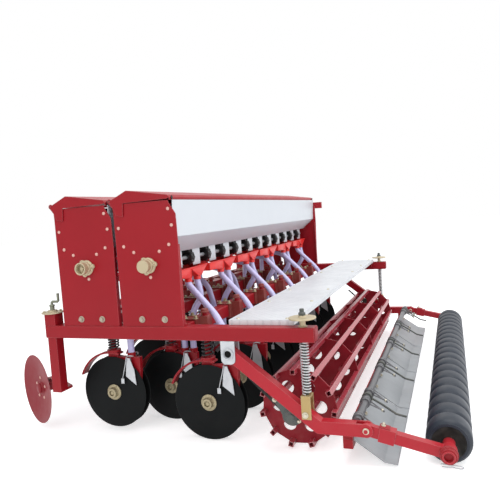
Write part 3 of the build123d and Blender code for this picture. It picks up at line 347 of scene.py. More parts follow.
def zinc_spangle(tree, tint, height):
    """Crystal patches of hot-dip zinc."""
    cells = tree.nodes.new("ShaderNodeTexVoronoi")
    cells.inputs["Scale"].default_value = 45.0
    tree.links.new(object_place(tree), cells.inputs["Vector"])
    grey = tree.nodes.new("ShaderNodeRGBToBW")
    tree.links.new(cells.outputs["Color"], grey.inputs[0])
    patch = maths(tree, "MULTIPLY", grey.outputs[0], 0.35)
    return blend_colours(tree, "MULTIPLY", patch, tint, (0.6, 0.62, 0.66, 1)), height


def brushed(tree, tint, height):
    """Fine scuffs along the board where soil slides over it."""
    where = object_place(tree)
    stretch = tree.nodes.new("ShaderNodeMapping")
    stretch.inputs["Scale"].default_value = (60.0, 4.0, 6.0)
    tree.links.new(where, stretch.inputs["Vector"])
    lines = ramp(tree, noise(tree, stretch.outputs[0], 3.0, 6.0, 0.7), 0.35, 0.7)
    blotch = ramp(tree, noise(tree, where, 5.0, 4.0, 0.6), 0.35, 0.65)
    tint = blend_colours(tree, "MULTIPLY", maths(tree, "MULTIPLY", lines, 0.22), tint, (0.55, 0.56, 0.58, 1))
    tint = blend_colours(tree, "MULTIPLY", maths(tree, "MULTIPLY", blotch, 0.35), tint, (0.66, 0.68, 0.70, 1))
    return tint, height


# pale pink painted highlight for the edges of the red paints
PINK_EDGE_HIGHLIGHT = (0.70, 0.22, 0.23)
recipes = {
    "red_paint": ((0.315, 0.0055, 0.0125), 0.42, dict(edge_highlight=(PINK_EDGE_HIGHLIGHT, 0.6), coat=0.10, dusty=(0.04, 0.5), shine=0.2)),
    # a lighter copy of red_paint for the arms: painted light on faces that catch more light, with a painted highlight
    # on their edges
    "lit_red_paint": ((0.44, 0.008, 0.020), 0.38, dict(edge_highlight=(PINK_EDGE_HIGHLIGHT, 0.7), coat=0.2, dusty=(0.04, 0.5), shine=0.25)),
    # a lighter, pinker copy of the red paint for the cage's bars, with strong pale edges: painted highlight on their
    # upper faces
    "highlit_bar_red": ((0.40, 0.035, 0.055), 0.30, dict(edge_highlight=((0.85, 0.5, 0.5), 0.8), coat=0.5, dusty=(0.08, 0.4))),
    "dark_red_paint": ((0.26, 0.008, 0.018), 0.46, dict(edge_highlight=(PINK_EDGE_HIGHLIGHT, 0.6), dusty=(0.10, 0.4), shine=0.22)),
    "brown_red_paint": ((0.24, 0.034, 0.028), 0.5, dict(edge_highlight=(PINK_EDGE_HIGHLIGHT, 0.4), dusty=(0.2, 1.5), shine=0.25)),
    "white_sheet": ((0.64, 0.67, 0.71), 0.36, dict(metal=0.1, vary=(1.2, 0.05), dusty=(0.03, 0.5))),
    "tread_sheet": ((0.72, 0.74, 0.76), 0.4, dict(metal=0.15, vary=(4.0, 0.12), dusty=(0.0, 0.5),
                                                  relief_depth=0.0012, extra=tread_pattern)),
    "galvanised": ((0.55, 0.57, 0.59), 0.38, dict(metal=0.6, dusty=(0.1, 0.4), extra=zinc_spangle)),
    "bright_spring": ((0.66, 0.67, 0.68), 0.32, dict(metal=0.5, dusty=(0.05, 0.4))),
    "dark_steel": ((0.075, 0.085, 0.078), 0.45, dict(metal=0.3, edge_highlight=((0.3, 0.3, 0.3), 0.4))),
    "grey_sheet": ((0.40, 0.42, 0.44), 0.36, dict(metal=0.3, vary=(2.0, 0.10), dusty=(0.05, 0.2), extra=brushed)),
    "tine_steel": ((0.16, 0.16, 0.17), 0.35, dict(metal=0.6, dusty=(0.1, 0.2))),
    "black_paint": ((0.0035, 0.0045, 0.005), 0.5, dict(vary=(5.0, 0.3), dusty=(0.01, 0.2),
                                                       edge_highlight=((0.06, 0.07, 0.07), 0.4), shine=0.12)),
    # near-black, for painted shade in hollows and holes
    "painted_shade_black": ((0.008, 0.008, 0.008), 0.8, dict(dusty=(0.0, 0.5), shine=0.1)),
    "spring_black": ((0.012, 0.012, 0.013), 0.35, dict(dusty=(0.05, 0.5))),
    "yellow_zinc": ((0.42, 0.30, 0.12), 0.36, dict(metal=0.45, edge_highlight=((0.8, 0.7, 0.5), 0.5))),
    "tan_zinc": ((0.40, 0.34, 0.26), 0.42, dict(metal=0.3, edge_highlight=((0.7, 0.65, 0.55), 0.5))),
    "cream_metal": ((0.50, 0.42, 0.27), 0.42, dict(metal=0.25, edge_highlight=((0.75, 0.66, 0.5), 0.5), relief=(150.0, 0.4))),
    "black_plastic": ((0.014, 0.014, 0.014), 0.35, dict(dusty=(0.08, 0.5))),
    "red_plastic": ((0.80, 0.022, 0.018), 0.32, dict(vary=(6.0, 0.1), dusty=(0.0, 0.5), coat=0.15, shine=0.3)),
    "clear_hose": ((0.58, 0.56, 0.86), 0.34, dict(vary=(8.0, 0.12), dusty=(0.0, 0.5), coat=0.2)),
    "pale_rivet": ((0.72, 0.42, 0.36), 0.45, dict(relief=(500.0, 0.1))),
    "pale_zinc": ((0.60, 0.56, 0.44), 0.36, dict(metal=0.5)),
    "hub_zinc": ((0.36, 0.31, 0.19), 0.40, dict(metal=0.5, edge_highlight=((0.6, 0.55, 0.4), 0.5))),
    "crank_steel": ((0.22, 0.23, 0.17), 0.40, dict(metal=0.5, edge_highlight=((0.5, 0.5, 0.4), 0.4))),
    "black_rubber": ((0.010, 0.011, 0.011), 0.6, dict(relief=(200.0, 0.4), shine=0.3)),
    "slate_rubber": ((0.010, 0.017, 0.030), 0.46, dict(dusty=(0.06, 0.2), relief=(220.0, 0.5), shine=0.4)),
}
paints = {name: finish(name, *base, **more) for name, (*base, more) in recipes.items()}

finishes = {entry["node"]: entry["material_slot"] for entry in frame["record"]["subparts"]}
look_of_slot = {"cream_plastic": "cream_metal"}
# the arms and the cage's bars get lighter copies of the red paint as painted light
look_of_node = {"footboard": "tread_sheet", "board_springs": "tine_steel", "depth_arms": "lit_red_paint",
                "rear_arms": "lit_red_paint", "cage_bars": "highlit_bar_red", "tine_pipe": "tine_steel"}
for name, node in nodes.items():
    slot = finishes[name]
    look = look_of_node.get(name, look_of_slot.get(slot, slot))
    node.data.materials.clear()
    node.data.materials.append(paints[look])
    node.name = name


# ---------------------------------------------------------------- shaping helpers
def clear():
    """Leaves edit mode and selects nothing."""
    if bpy.context.object and bpy.context.object.mode != "OBJECT":
        bpy.ops.object.mode_set(mode="OBJECT")
    bpy.ops.object.select_all(action="DESELECT")


def hold(*pieces):
    """Selects these pieces and makes the first the active one."""
    clear()
    for piece in pieces:
        piece.select_set(True)
    bpy.context.view_layer.objects.active = pieces[0]


def settle(piece):
    """Puts the piece's place into its mesh, so that its object sits at the origin."""
    hold(piece)
    bpy.ops.object.transform_apply(location=True, rotation=True, scale=True)
    return piece


def start(piece, name):
    piece.name = name
    piece.data.name = name
    return settle(piece)


AXES = {"X": (0, math.pi / 2, 0), "Y": (-math.pi / 2, 0, 0), "Z": (0, 0, 0), "-X": (0, -math.pi / 2, 0),
        "-Y": (math.pi / 2, 0, 0), "-Z": (math.pi, 0, 0)}


def laid(piece, axis="Z", at=(0, 0, 0)):
    """Turns a piece that stands along +Z to lie along the axis, with its foot at a place in millimetres."""
    if isinstance(axis, str):
        piece.rotation_euler = AXES[axis]
    else:
        piece.rotation_mode = "QUATERNION"
        piece.rotation_quaternion = Vector(axis).to_track_quat("Z", "Y")
    piece.location = [v * MM for v in at]
    return settle(piece)


def edit():
    bpy.ops.object.mode_set(mode="EDIT")
    bpy.ops.mesh.select_all(action="SELECT")


def end_edit():
    """Turns every face outwards and leaves edit mode."""
    bpy.ops.mesh.select_all(action="SELECT")
    bpy.ops.mesh.normals_make_consistent(inside=False)
    bpy.ops.object.mode_set(mode="OBJECT")


def turned(name, stations, sides=24, axis="Z", at=(0, 0, 0)):
    """A turned piece; stations are (height, radius) pairs along its profile, in millimetres."""
    clear()
    height, radius = stations[0]
    bpy.ops.mesh.primitive_circle_add(vertices=sides, radius=radius * MM, fill_type="NGON",
                                      location=(0, 0, height * MM))
    piece = start(bpy.context.object, name)
    edit()
    for (low_z, wide), (high_z, narrow) in zip(stations, stations[1:]):
        bpy.ops.mesh.extrude_region_move(TRANSFORM_OT_translate={"value": (0, 0, (high_z - low_z) * MM)})
        bpy.ops.transform.resize(value=(narrow / wide, narrow / wide, 1), center_override=(0, 0, high_z * MM))
    end_edit()
    return laid(piece, axis, at)


def rounded(piece, width, segments=2, angle=35):
    """Rounds the piece's sharp edges; width in millimetres."""
    hold(piece)
    bevel = piece.modifiers.new("edge", "BEVEL")
    bevel.width = width * MM
    bevel.segments = segments
    bevel.limit_method = "ANGLE"
    bevel.angle_limit = math.radians(angle)
    bpy.ops.object.modifier_apply(modifier="edge")
    return piece


def slab(name, low_corner, high_corner, edge=1.5, segments=2):
    """A rounded block between two corners, in millimetres."""
    clear()
    middle = [(a + b) / 2 * MM for a, b in zip(low_corner, high_corner)]
    bpy.ops.mesh.primitive_cube_add(size=1.0, location=middle)
    piece = bpy.context.object
    piece.scale = [abs(b - a) * MM for a, b in zip(low_corner, high_corner)]
    return rounded(start(piece, name), edge, segments)


def cut_plate(name, outline, thickness, edge=0.8, at=0.0):
    """A plate with the given outline of (y, z) corners, in millimetres, as thick as said along X from at."""
    clear()
    bpy.ops.mesh.primitive_circle_add(vertices=len(outline), radius=1.0, fill_type="NGON")
    piece = bpy.context.object
    for vertex, corner in zip(piece.data.vertices, outline):
        vertex.co = (at, *corner)
    piece.data.transform(Matrix.Scale(MM, 4))
    start(piece, name)
    edit()
    bpy.ops.mesh.extrude_region_move(TRANSFORM_OT_translate={"value": (thickness * MM, 0, 0)})
    end_edit()
    return rounded(piece, edge, 2)


def wire(name, points, radius, smooth=False, sides=2):
    """Bent wire along points, in millimetres."""
    clear()
    line = bpy.data.curves.new(name, "CURVE")
    line.dimensions = "3D"
    run = line.splines.new("NURBS" if smooth else "POLY")
    run.points.add(len(points) - 1)
    for point, place in zip(run.points, points):
        point.co = (*[v * MM for v in place], 1)
    if smooth:
        run.order_u = 3
        run.use_endpoint_u = True
        run.resolution_u = 6
    line.bevel_depth = radius * MM
    line.bevel_resolution = sides
    line.use_fill_caps = True
    piece = bpy.data.objects.new(name, line)
    bpy.context.scene.collection.objects.link(piece)
    hold(piece)
    bpy.ops.object.convert(target="MESH")
    return settle(bpy.context.object)


def coil(name, radius, wire_radius, height, turns, sides=6, steps=18):
    """A wire helix round +Z with its ends on two planes, in millimetres."""
    clear()
    bpy.ops.mesh.primitive_circle_add(vertices=sides, radius=wire_radius * MM, fill_type="NGON",
                                      location=(radius * MM, 0, wire_radius * MM), rotation=(math.pi / 2, 0, 0))
    piece = start(bpy.context.object, name)
    screw = piece.modifiers.new("turns", "SCREW")
    screw.axis = "Z"
    screw.screw_offset = (height - 2 * wire_radius) * MM / turns
    screw.iterations = turns
    screw.steps = steps
    screw.render_steps = steps
    bpy.ops.object.modifier_apply(modifier="turns")
    edit()
    end_edit()
    return piece


def twin_of(piece, move):
    """A copy of the piece with its own mesh, moved by the matrix."""
    twin = piece.copy()
    twin.data = piece.data.copy()
    bpy.context.scene.collection.objects.link(twin)
    twin.data.transform(move)
    return twin


def copies(piece, places):
    """One piece made of the first, repeated at each place; a place is a vector in millimetres or a matrix."""
    made = [twin_of(piece, place if isinstance(place, Matrix) else Matrix.Translation(Vector(place) * MM))
            for place in places]
    name = piece.name
    bpy.data.objects.remove(piece)
    return joined(name, *made)


def joined(name, *pieces):
    hold(*pieces)
    if len(pieces) > 1:
        bpy.ops.object.join()
    return start(bpy.context.object, name)


def mirrored(piece):
    """The piece and its mirror image on the machine's other side, as one."""
    twin = twin_of(piece, Matrix.Scale(-1, 4, (1, 0, 0)))
    twin.data.flip_normals()
    return joined(piece.name, piece, twin)


def dress(piece, look, body="frame", smooth=35):
    """Gives the piece its finish and its shading, and ties it to a body."""
    piece.data.materials.clear()
    piece.data.materials.append(paints[look])
    hold(piece)
    if smooth:
        bpy.ops.object.shade_smooth_by_angle(angle=math.radians(smooth))
    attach(piece, body)
    return piece


def hex_bolt(name, size, head=0.65, sides=6, washer=True):
    """A bolt head of the given width with its washer, standing on the XY plane, in millimetres."""
    top = head * size
    stations = [(0, size * 0.5), (top * 0.85, size * 0.5), (top, size * 0.42)]
    bolt = turned(name, stations, sides)
    if not washer:
        return bolt
    ring = turned(name + "_washer", [(0, size * 0.8), (2.2, size * 0.8), (3.0, size * 0.74)], 16)
    bolt.data.transform(Matrix.Translation((0, 0, 2.8 * MM)))
    return joined(name, bolt, ring)


def placed(axis, at):
    """A matrix that stands a piece's foot at a place, in millimetres, along an axis."""
    turn = Vector({"X": (1, 0, 0), "-X": (-1, 0, 0)}[axis] if isinstance(axis, str) else axis)
    return Matrix.Translation(Vector(at) * MM) @ turn.to_track_quat("Z", "Y").to_matrix().to_4x4()


def both_sides(reach, y, z):
    """Places on the machine's two sides, at reach from its middle, that face outwards."""
    return [placed("-X", (-reach, y, z)), placed("X", (reach, y, z))]


def inner_sides(reach, y, z):
    """Places at reach on both sides that face the machine's middle."""
    return [placed("X", (-reach, y, z)), placed("-X", (reach, y, z))]


def box_mm(name):
    return [Vector(corner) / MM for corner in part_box(name)]


# ---------------------------------------------------------------- hopper fittings
end_face = -box_mm("hopper_ends")[0].x
middles = {name: y + SHAFT_LAG for name, y in shaft_y.items()}


def hopper_fittings():
    """Rivets round the trough's ends, foot bolts, seal in the gap, lid latches, and dark sheets on the aprons as
    painted shade.
    """
    rivet = turned("rivet", [(0, 8), (1.6, 7.6), (3.2, 5.8), (4.2, 3)], 10)
    spots = []
    for middle in middles.values():
        for half, z in ((123, 1087), (135, 1015), (115, 931), (65, 903)):
            for y in (middle - half, middle + half):
                spots += both_sides(end_face, y, z)
        spots += both_sides(end_face, middle - 11, 789)
    dress(copies(rivet, spots), "pale_rivet")

    bolt = hex_bolt("foot_bolt", 19, 0.55, 12)
    spots = []
    for middle in middles.values():
        for y in (middle + 50, middle - 66):
            spots += both_sides(end_face, y, 600)
    dress(copies(bolt, spots), "tan_zinc")

    # rubber roll near the top of the gap between the hoppers, and two cross ties lower down
    gap_y = sum(middles.values()) / 2
    roll = turned("gap_seal", [(0, 8), (0.5, 15), (4, 17), (2496, 17), (2499.5, 15), (2500, 8)], 20, "X",
                  (-1250, gap_y, 1098))
    dress(roll, "black_rubber")
    inner_face = end_face - 12
    ties = [slab("gap_tie", (-inner_face, gap_y - 10, z - 7), (inner_face, gap_y + 10, z + 7), 2) for z in (879, 807)]
    dress(joined("gap_ties", *ties), "dark_red_paint")

    # one small over-centre latch at each end of a lid
    latches = []
    for middle in middles.values():
        for x in (-inner_face, inner_face):
            latches.append(slab("latch", (x - 5, middle - 143, 1126), (x + 5, middle - 138, 1142), 1.5))
            latches.append(wire("latch_hook", [(x, middle - 142, 1128), (x, middle - 146, 1136),
                                               (x, middle - 140, 1144)], 1.6, smooth=True))
    dress(joined("lid_latches", *latches), "spring_black")

    # near-black sheets on the aprons ahead of the metering rollers: painted shade in the hollow round the rollers
    low, high = box_mm("meter_uprights")
    shade_sheets = []
    for y in shaft_y.values():
        face = y + 43
        shade_sheets.append(slab("shade_sheet", (low.x + 2, face - 0.6, low.z + 14), (high.x - 2, face - 0.1, 882), 0.1, 1))
    dress(joined("apron_painted_shade", *shade_sheets), "painted_shade_black")


def rate_knobs():
    """Cast grease-cup shaped rate knobs with lobed flanges: an open cup in front, a domed one behind."""
    mouths = {"front": [(54, 24), (50, 22), (28, 21), (26, 9), (40, 8), (40, 3)], "rear": [(54, 18), (53.5, 8)]}
    made = []
    for name, y in shaft_y.items():
        cup = [(0, 29), (20, 29), (22, 26), (40, 27), (50, 29.5), (53.8, 28.5)] + mouths[name]
        made.append(turned("knob", cup, 28, "-X", (-end_face, y, SHAFT_Z)))
        for turn in range(3):
            angle = math.radians(50 + 120 * turn)
            spot = (-end_face, y + 33 * math.cos(angle), SHAFT_Z + 33 * math.sin(angle))
            made.append(turned("lobe", [(0, 12), (8, 12), (10, 10)], 14, "-X", spot))
            made.append(turned("lobe_bolt", [(9, 6.5), (15, 6.5), (16, 5)], 6, "-X", spot))
        made.append(turned("flange", [(0, 36), (6, 36), (8, 33)], 24, "-X", (-end_face, y, SHAFT_Z)))
    piece = dress(joined("knob_castings", *made), "cream_metal")
    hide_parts("rate_knobs")


# ---------------------------------------------------------------- metering rollers and funnels
all_rows = sorted({round(hub.x) for hub in hubs})


def metering(crop, hopper, body):
    """Fluted rollers with side rings on their shaft."""
    y, z = shaft_y[hopper], SHAFT_Z
    flutes = 10
    ring = []
    for k in range(flutes):
        for offset, radius in ((-0.36, 33.5), (-0.2, 39.6), (0.2, 39.6), (0.36, 33.5)):
            angle = 2 * math.pi * (k + offset) / flutes
            ring.append((y + radius * math.cos(angle), z + radius * math.sin(angle)))
    roller = cut_plate("roller", ring, 26, 1.2, -13)
    side_face = [(12, 36), (15, 36), (17, 33), (17, 26), (14, 25), (14, 17), (17, 16)]
    side_rings = [turned("ring", side_face, 24, axis, (0, y, z)) for axis in ("-X", "X")]
    rollers = copies(joined("roller", roller, *side_rings), [(x, 0, 0) for x in all_rows])
    rollers.name = f"{crop}_rollers"
    dress(rollers, "black_plastic", body)
    reach = end_face - 4
    shaft = turned(f"{crop}_shaft", [(-reach, 10.9), (reach, 10.9)], 8, "X", (0, y, z))
    dress(shaft, "galvanised", body)
    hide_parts(f"{crop}_meters")


def open_shell(name, low_box, high_box, wall, edge):
    """A thin shell between a lower and an upper rectangle, open at the top.
    A box is (low x, high x, low y, high y, z), in millimetres."""
    clear()
    bpy.ops.mesh.primitive_cube_add(size=2.0)
    shell = bpy.context.object
    for vertex in shell.data.vertices:
        box = high_box if vertex.co.z > 0 else low_box
        vertex.co = (box[1] if vertex.co.x > 0 else box[0], box[3] if vertex.co.y > 0 else box[2], box[4])
    shell.data.transform(Matrix.Scale(MM, 4))
    start(shell, name)
    rounded(shell, edge, 3)
    top = high_box[4] - edge * 0.6
    for face in shell.data.polygons:
        face.select = face.center.z > top * MM
    bpy.ops.object.mode_set(mode="EDIT")
    bpy.ops.mesh.select_mode(type="FACE")
    bpy.ops.mesh.delete(type="FACE")
    bpy.ops.object.mode_set(mode="OBJECT")
    solid = shell.modifiers.new("wall", "SOLIDIFY")
    solid.thickness = wall * MM
    solid.offset = -1
    bpy.ops.object.modifier_apply(modifier="wall")
    return shell


def funnels(crop, hopper):
    """Moulded funnels with a rolled lip, a ridge down the middle and two outlets each."""
    low, high = box_mm(f"{crop}_funnels")
    rear, front, lip_z, half = low.y, high.y, high.z, 187
    outlet_y, outlet_top, outlet = shaft_y[hopper] - 47, lip_z - 52, 19.3
    left_drop, right_drop = 42, 9  # how far the straight collar goes down on the two halves
    neck = [(0, 19.3), (1, 20.4), (3, 20.4), (4, 19.3), (20, 19.3), (20, 16.4), (0, 16.4)]
    made = []
    for left, right, foot, drop in ((-half, 1, 0, left_drop), (-1, half, 100, right_drop)):
        made.append(open_shell("half", (foot - outlet, foot + outlet, outlet_y - outlet, outlet_y + outlet, outlet_top),
                               (left, right, rear, front, lip_z - drop + 4), 2.4, 4))
        made.append(turned("outlet", neck, 24, "Z", (foot, outlet_y, low.z)))
        for y in (rear + 1.5, front - 1.5):
            made.append(slab("collar", (left, y - 1.5, lip_z - drop), (right, y + 1.5, lip_z), 0.8))
    for x, drop in ((-half + 1.5, left_drop), (half - 1.5, right_drop)):
        made.append(slab("collar", (x - 1.5, rear, lip_z - drop), (x + 1.5, front, lip_z), 0.8))
    rim_z = lip_z - 2.8
    for y in (rear + 1.2, front - 1.2):
        made.append(wire("lip", [(-half + 1, y, rim_z), (half - 1, y, rim_z)], 2.8))
    for x in (-half + 1.2, half - 1.2):
        made.append(wire("lip", [(x, rear + 1, rim_z), (x, front - 1, rim_z)], 2.8))
    made.append(wire("ridge", [(0, rear + 0.5, lip_z - 5), (0, rear + 0.5, lip_z - 42),
                               (0, outlet_y - outlet + 1, outlet_top + 2)], 3.0))
    pairs = [((left + right) / 2, 0, 0) for left, right in zip(all_rows[::2], all_rows[1::2])]
    piece = copies(joined("funnel", *made), pairs)
    piece.name = f"{crop}_funnel_set"
    dress(piece, "red_plastic")
    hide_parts(f"{crop}_funnels")


# ---------------------------------------------------------------- openers
disc_low, disc_high = box_mm("discs_rear_1")
disc_radius = (disc_high.z - disc_low.z) / 2
beam_top = box_mm("opener_beams")[1].z


def opener_discs():
    """Bevelled twin discs, black, with stepped zinc hubs and a ring of rivets."""
    blade_face = [(20, 60), (20, disc_radius - 12), (21.6, disc_radius - 0.3), (22.2, disc_radius),
                  (24, disc_radius - 14), (24.6, 120), (26.2, 70), (26.2, 30)]
    cap_face = [(25.5, 39), (30, 39), (32, 36), (32, 27), (34, 26), (36, 24.5), (50, 24), (52, 22.5), (52, 14),
                (43, 13)]
    ring = 31.5
    for rank, row in rows.items():
        for number, hub in enumerate(row, start=1):
            body = f"discs_{rank}_{number}"
            blades, caps = [], []
            for axis in ("-X", "X"):
                blades.append(turned("blade", blade_face, 56, axis, hub))
                caps.append(turned("cap", cap_face, 28, axis, hub))
                caps.append(turned("nut", [(43, 11), (47, 11), (48, 9)], 6, axis, hub))
            blade = dress(joined(f"{body}_blades", *blades), "black_paint", body)
            cap = joined(f"{body}_hubs", *caps)
            rivet = turned("hub_rivet", [(0, 4.5), (3, 4), (4, 2)], 8)
            spots = [placed(axis, hub + Vector((side, math.cos(a), math.sin(a))) * ring)
                     for side, axis in ((-1, "-X"), (1, "X")) for a in (0.5, 2.07, 3.64, 5.21)]
            cap = joined(f"{body}_hubs", cap, copies(rivet, spots))
            dress(cap, "hub_zinc", body)
            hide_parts(body)


def opener_springs():
    """Black wire coils between the guards and the clamps."""
    foot_above_hub, top = 211.4, 500.6
    made = []
    for hub in hubs:
        foot = hub.z + foot_above_hub
        made.append(laid(coil("spring", 25, 4.2, top - foot, 6), "Z", (hub.x, hub.y, foot)))
    piece = dress(joined("wire_springs", *made), "spring_black")
    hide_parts("opener_springs")


def clamp_bolts():
    """Nuts on top of each clamp and collars on the guide rods."""
    nut = hex_bolt("clamp_nut", 17, 0.7, 6)
    nuts = [(hub.x + dx, hub.y + dy, beam_top + 7) for hub in hubs for dx in (-37, 37) for dy in (31, 84)]
    dress(copies(nut, nuts), "hub_zinc")
    collar = turned("rod_nut", [(0, 21), (5, 21), (6, 17), (14, 17), (16, 14)], 12)
    dress(copies(collar, [(hub.x, hub.y, beam_top + 32) for hub in hubs]), "brown_red_paint")


def scraper_rods():
    """Spring rods with a hooked end that press each scraper on its disc."""
    made = []
    for x, y, z in hubs:
        for side in (-1, 1):
            out = x + side * 36
            made.append(wire("rod", [(out, y - 92, z + 182), (out, y - 84, z + 150), (out, y - 60, z + 70),
                                     (out - side * 3, y - 58, z + 60), (out - side * 3, y - 66, z + 56)], 2.2))
            made.append(wire("loop", [(x + side * 16, y - 88, z + 178), (out, y - 90, z + 186),
                                      (out, y - 118, z + 190), (x + side * 20, y - 122, z + 182)], 2.6, smooth=True))
            made.append(slab("tip", (out - 2, y - 70, z + 48), (out + 1, y - 52, z + 74), 0.8))
    dress(joined("scraper_rods", *made), "galvanised")


# ---------------------------------------------------------------- corner discs and cranks
def corner_fittings():
    """Bolt heads round each corner disc, and the depth crank on its post."""
    up = Vector((0, 0, 1))
    for word, side in (("left", -1), ("right", 1)):
        body = f"corner_disc_{word}"
        axis = joint_axis[body]
        inwards = Vector((-side * abs(axis.x), axis.y, 0))
        centre = joint_at[body]
        across = up.cross(inwards)
        head = turned("disc_bolt", [(-3, 8), (1.5, 8), (4, 6), (5, 3)], 12)
        spots = []
        for turn in range(5):
            angle = math.radians(90 + 72 * turn)
            spoke = across * math.cos(angle) + up * math.sin(angle)
            for level, facing in ((20.5, -inwards), (25, inwards)):
                spots.append(placed(facing, centre + spoke * 55 + inwards * level))
        dress(copies(head, spots), "pale_rivet", body)
        cap = turned("disc_cap", [(0, 34), (3, 34), (6, 27), (16, 25), (19, 20), (20, 8)], 20, -inwards,
                     centre + inwards * 22)
        dress(cap, "dark_red_paint", body)

    x, y, top = BEAM_X, 686, 632
    crank_top = box_mm("corner_cranks")[1].z
    flange = turned("crank_flange", [(-6, 52), (-1, 52), (0, 50), (0, 24), (8, 22), (9, 14)], 28, "Z", (x, y, top))
    bolt = hex_bolt("flange_bolt", 12, 0.6, 6, washer=False)
    bolts = copies(bolt, [(x + 38 * math.cos(a), y + 38 * math.sin(a), top) for a in (0.8, 2.4, 3.9, 5.5)])
    spindle = turned("crank_spindle", [(0, 11), (26, 11), (27, 13), (34, 13), (35, 9)], 16, "Z", (x, y, top))
    handle = wire("crank_handle", [(x, y, top + 28), (x, y, top + 44), (x, y - 6, top + 49), (x, y - 34, top + 49),
                                   (x, y - 40, top + 54), (x, y - 40, crank_top - 0.5)], 6.4, sides=4)
    plates = dress(mirrored(joined("crank_flanges", flange, bolts)), "cream_metal")
    dress(mirrored(joined("crank_handles", spindle, handle)), "crank_steel")
    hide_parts("corner_cranks")


# ---------------------------------------------------------------- depth struts and arms
def depth_struts():
    """Galvanised wire springs, threaded rods and rimmed handwheels."""
    low, high = box_mm("strut_springs")
    y = (low.y + high.y) / 2
    spring = laid(coil("strut_coil", 17.2, 2.8, high.z - low.z, 18, 6, 16), "Z", (BEAM_X, y, low.z))
    coils = dress(mirrored(spring), "bright_spring")
    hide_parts("strut_springs")

    on_beam = (BEAM_X, y, beam_top)
    wheel = turned("handwheel", [(32, 14), (32, 46), (31.5, 52), (33, 56), (36, 57), (39, 56), (40, 52), (39.5, 46),
                                 (40, 17), (46, 15), (47, 10)], 36, "Z", on_beam)
    seat = turned("seat", [(0, 19), (3, 19), (4, 12.5), (33, 12)], 20, "Z", on_beam)
    wheels = dress(mirrored(joined("handwheels", wheel, seat)), "cream_metal")
    stud = turned("stud", [(0, 9.6), (353, 9.6), (355, 8)], 14, "Z", (BEAM_X, y, 287))
    nut = turned("stud_nut", [(0, 15), (10, 15), (12, 12)], 6, "Z", (BEAM_X, y, beam_top + 47))
    dress(mirrored(joined("strut_studs", stud, nut)), "dark_steel")
    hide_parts("strut_handwheels")

    bolt = hex_bolt("clevis_bolt", 17, 0.5, 12)
    cheek = 28
    spots = both_sides(BEAM_X + cheek, y + 5, 208) + inner_sides(BEAM_X - cheek, y + 5, 208)
    dress(copies(bolt, spots), "pale_zinc")


def arm_fittings():
    """Pivot rings with a near-black disc of painted shade in their bores, bearing nuts and bolts, the hinge's pin heads
    and a flat bar from the pivot to the bearing.
    """
    pivot = (1278, -240, 452)
    ring = turned("pivot_tube", [(0, 24), (1, 25.5), (5, 25.5), (6, 20), (1, 19.5), (1, 15)], 24)
    dress(copies(ring, both_sides(*pivot)), "galvanised")
    # a near-black disc inside each pivot ring: painted shade in the hole
    bore_shade = turned("pivot_bore_shade", [(0.6, 15.5), (1.4, 15), (1.2, 2)], 20)
    dress(copies(bore_shade, both_sides(*pivot)), "painted_shade_black")

    cage, bearing_face = joint_at["cage_roller"], BEAM_X - 22
    hub = turned("bearing_nut", [(0, 34), (6, 34), (8, 27), (14, 27), (15, 22), (17, 22)], 24)
    nut = turned("hub_nut", [(14, 18), (22, 18), (23, 15)], 6)
    dress(copies(joined("bearing_hubs", hub, nut), both_sides(bearing_face, cage.y, cage.z)), "dark_steel")
    bolt = hex_bolt("bearing_bolt", 13, 0.6, 6)
    spots = []
    for dy, dz in ((72, 66), (8, 54), (-30, -18)):
        spots += both_sides(bearing_face, cage.y + dy, cage.z + dz)
    dress(copies(bolt, spots), "pale_zinc")

    bar = slab("flat_bar", (1217, -118, -6), (1220, 118, 6), 0.8)
    slope = math.atan2(-205, -210)
    bar.data.transform(Matrix.Translation(Vector((0, -388, 256)) * MM) @ Matrix.Rotation(slope, 4, "X"))
    dress(mirrored(bar), "black_rubber")

    hinge, cheek = joint_at["press_frame"], 22
    head = turned("pin_head", [(0, 13), (4, 13), (6, 10)], 18)
    spots = both_sides(BEAM_X + cheek, hinge.y, hinge.z) + inner_sides(BEAM_X - cheek, hinge.y, hinge.z)
    dress(copies(head, spots), "pale_zinc")


def rear_arm_fittings():
    """Stop lugs, bolts and spring clips on the ribbed roller's arms."""
    hinge, press = joint_at["press_frame"], joint_at["press_roller"]
    along = (press - hinge).normalized()
    up = Vector((0, -along.z, along.y))
    if up.z < 0:
        up = -up
    turn = Matrix((Vector((1, 0, 0)), along, up)).transposed().to_4x4()
    lug = slab("stop_lug", (-20, 46, 26), (20, 88, 33), 3)
    lug_bolt = hex_bolt("lug_bolt", 12, 0.8, 6)
    lug_bolt.data.transform(Matrix.Translation(Vector((0, 60, 33)) * MM))
    for piece, look in ((lug, "red_paint"), (lug_bolt, "pale_zinc")):
        spots = [Matrix.Translation(Vector((x, hinge.y, hinge.z)) * MM) @ turn for x in (-BEAM_X, BEAM_X)]
        dress(copies(piece, spots), look, "press_frame")

    # hubs and spring clips at the ends of the roller's axle
    boss = turned("axle_boss", [(0, 35), (8, 35), (10, 31), (22, 30), (24, 26), (24, 20), (14, 19)], 24)
    dress(copies(boss, both_sides(1268, press.y, press.z)), "red_paint", "press_frame")
    bends = ((30, -28), (6, -30), (-20, -31), (-44, -31), (-52, -36), (-44, -42), (-24, -40), (-10, -37), (6, -40),
             (26, -38))
    clips = [wire("clip", [(x, press.y + dy, press.z + dz) for dy, dz in bends], 2.6, smooth=True)
             for x in (-1288, 1288)]
    dress(joined("axle_clips", *clips), "galvanised", "press_frame")


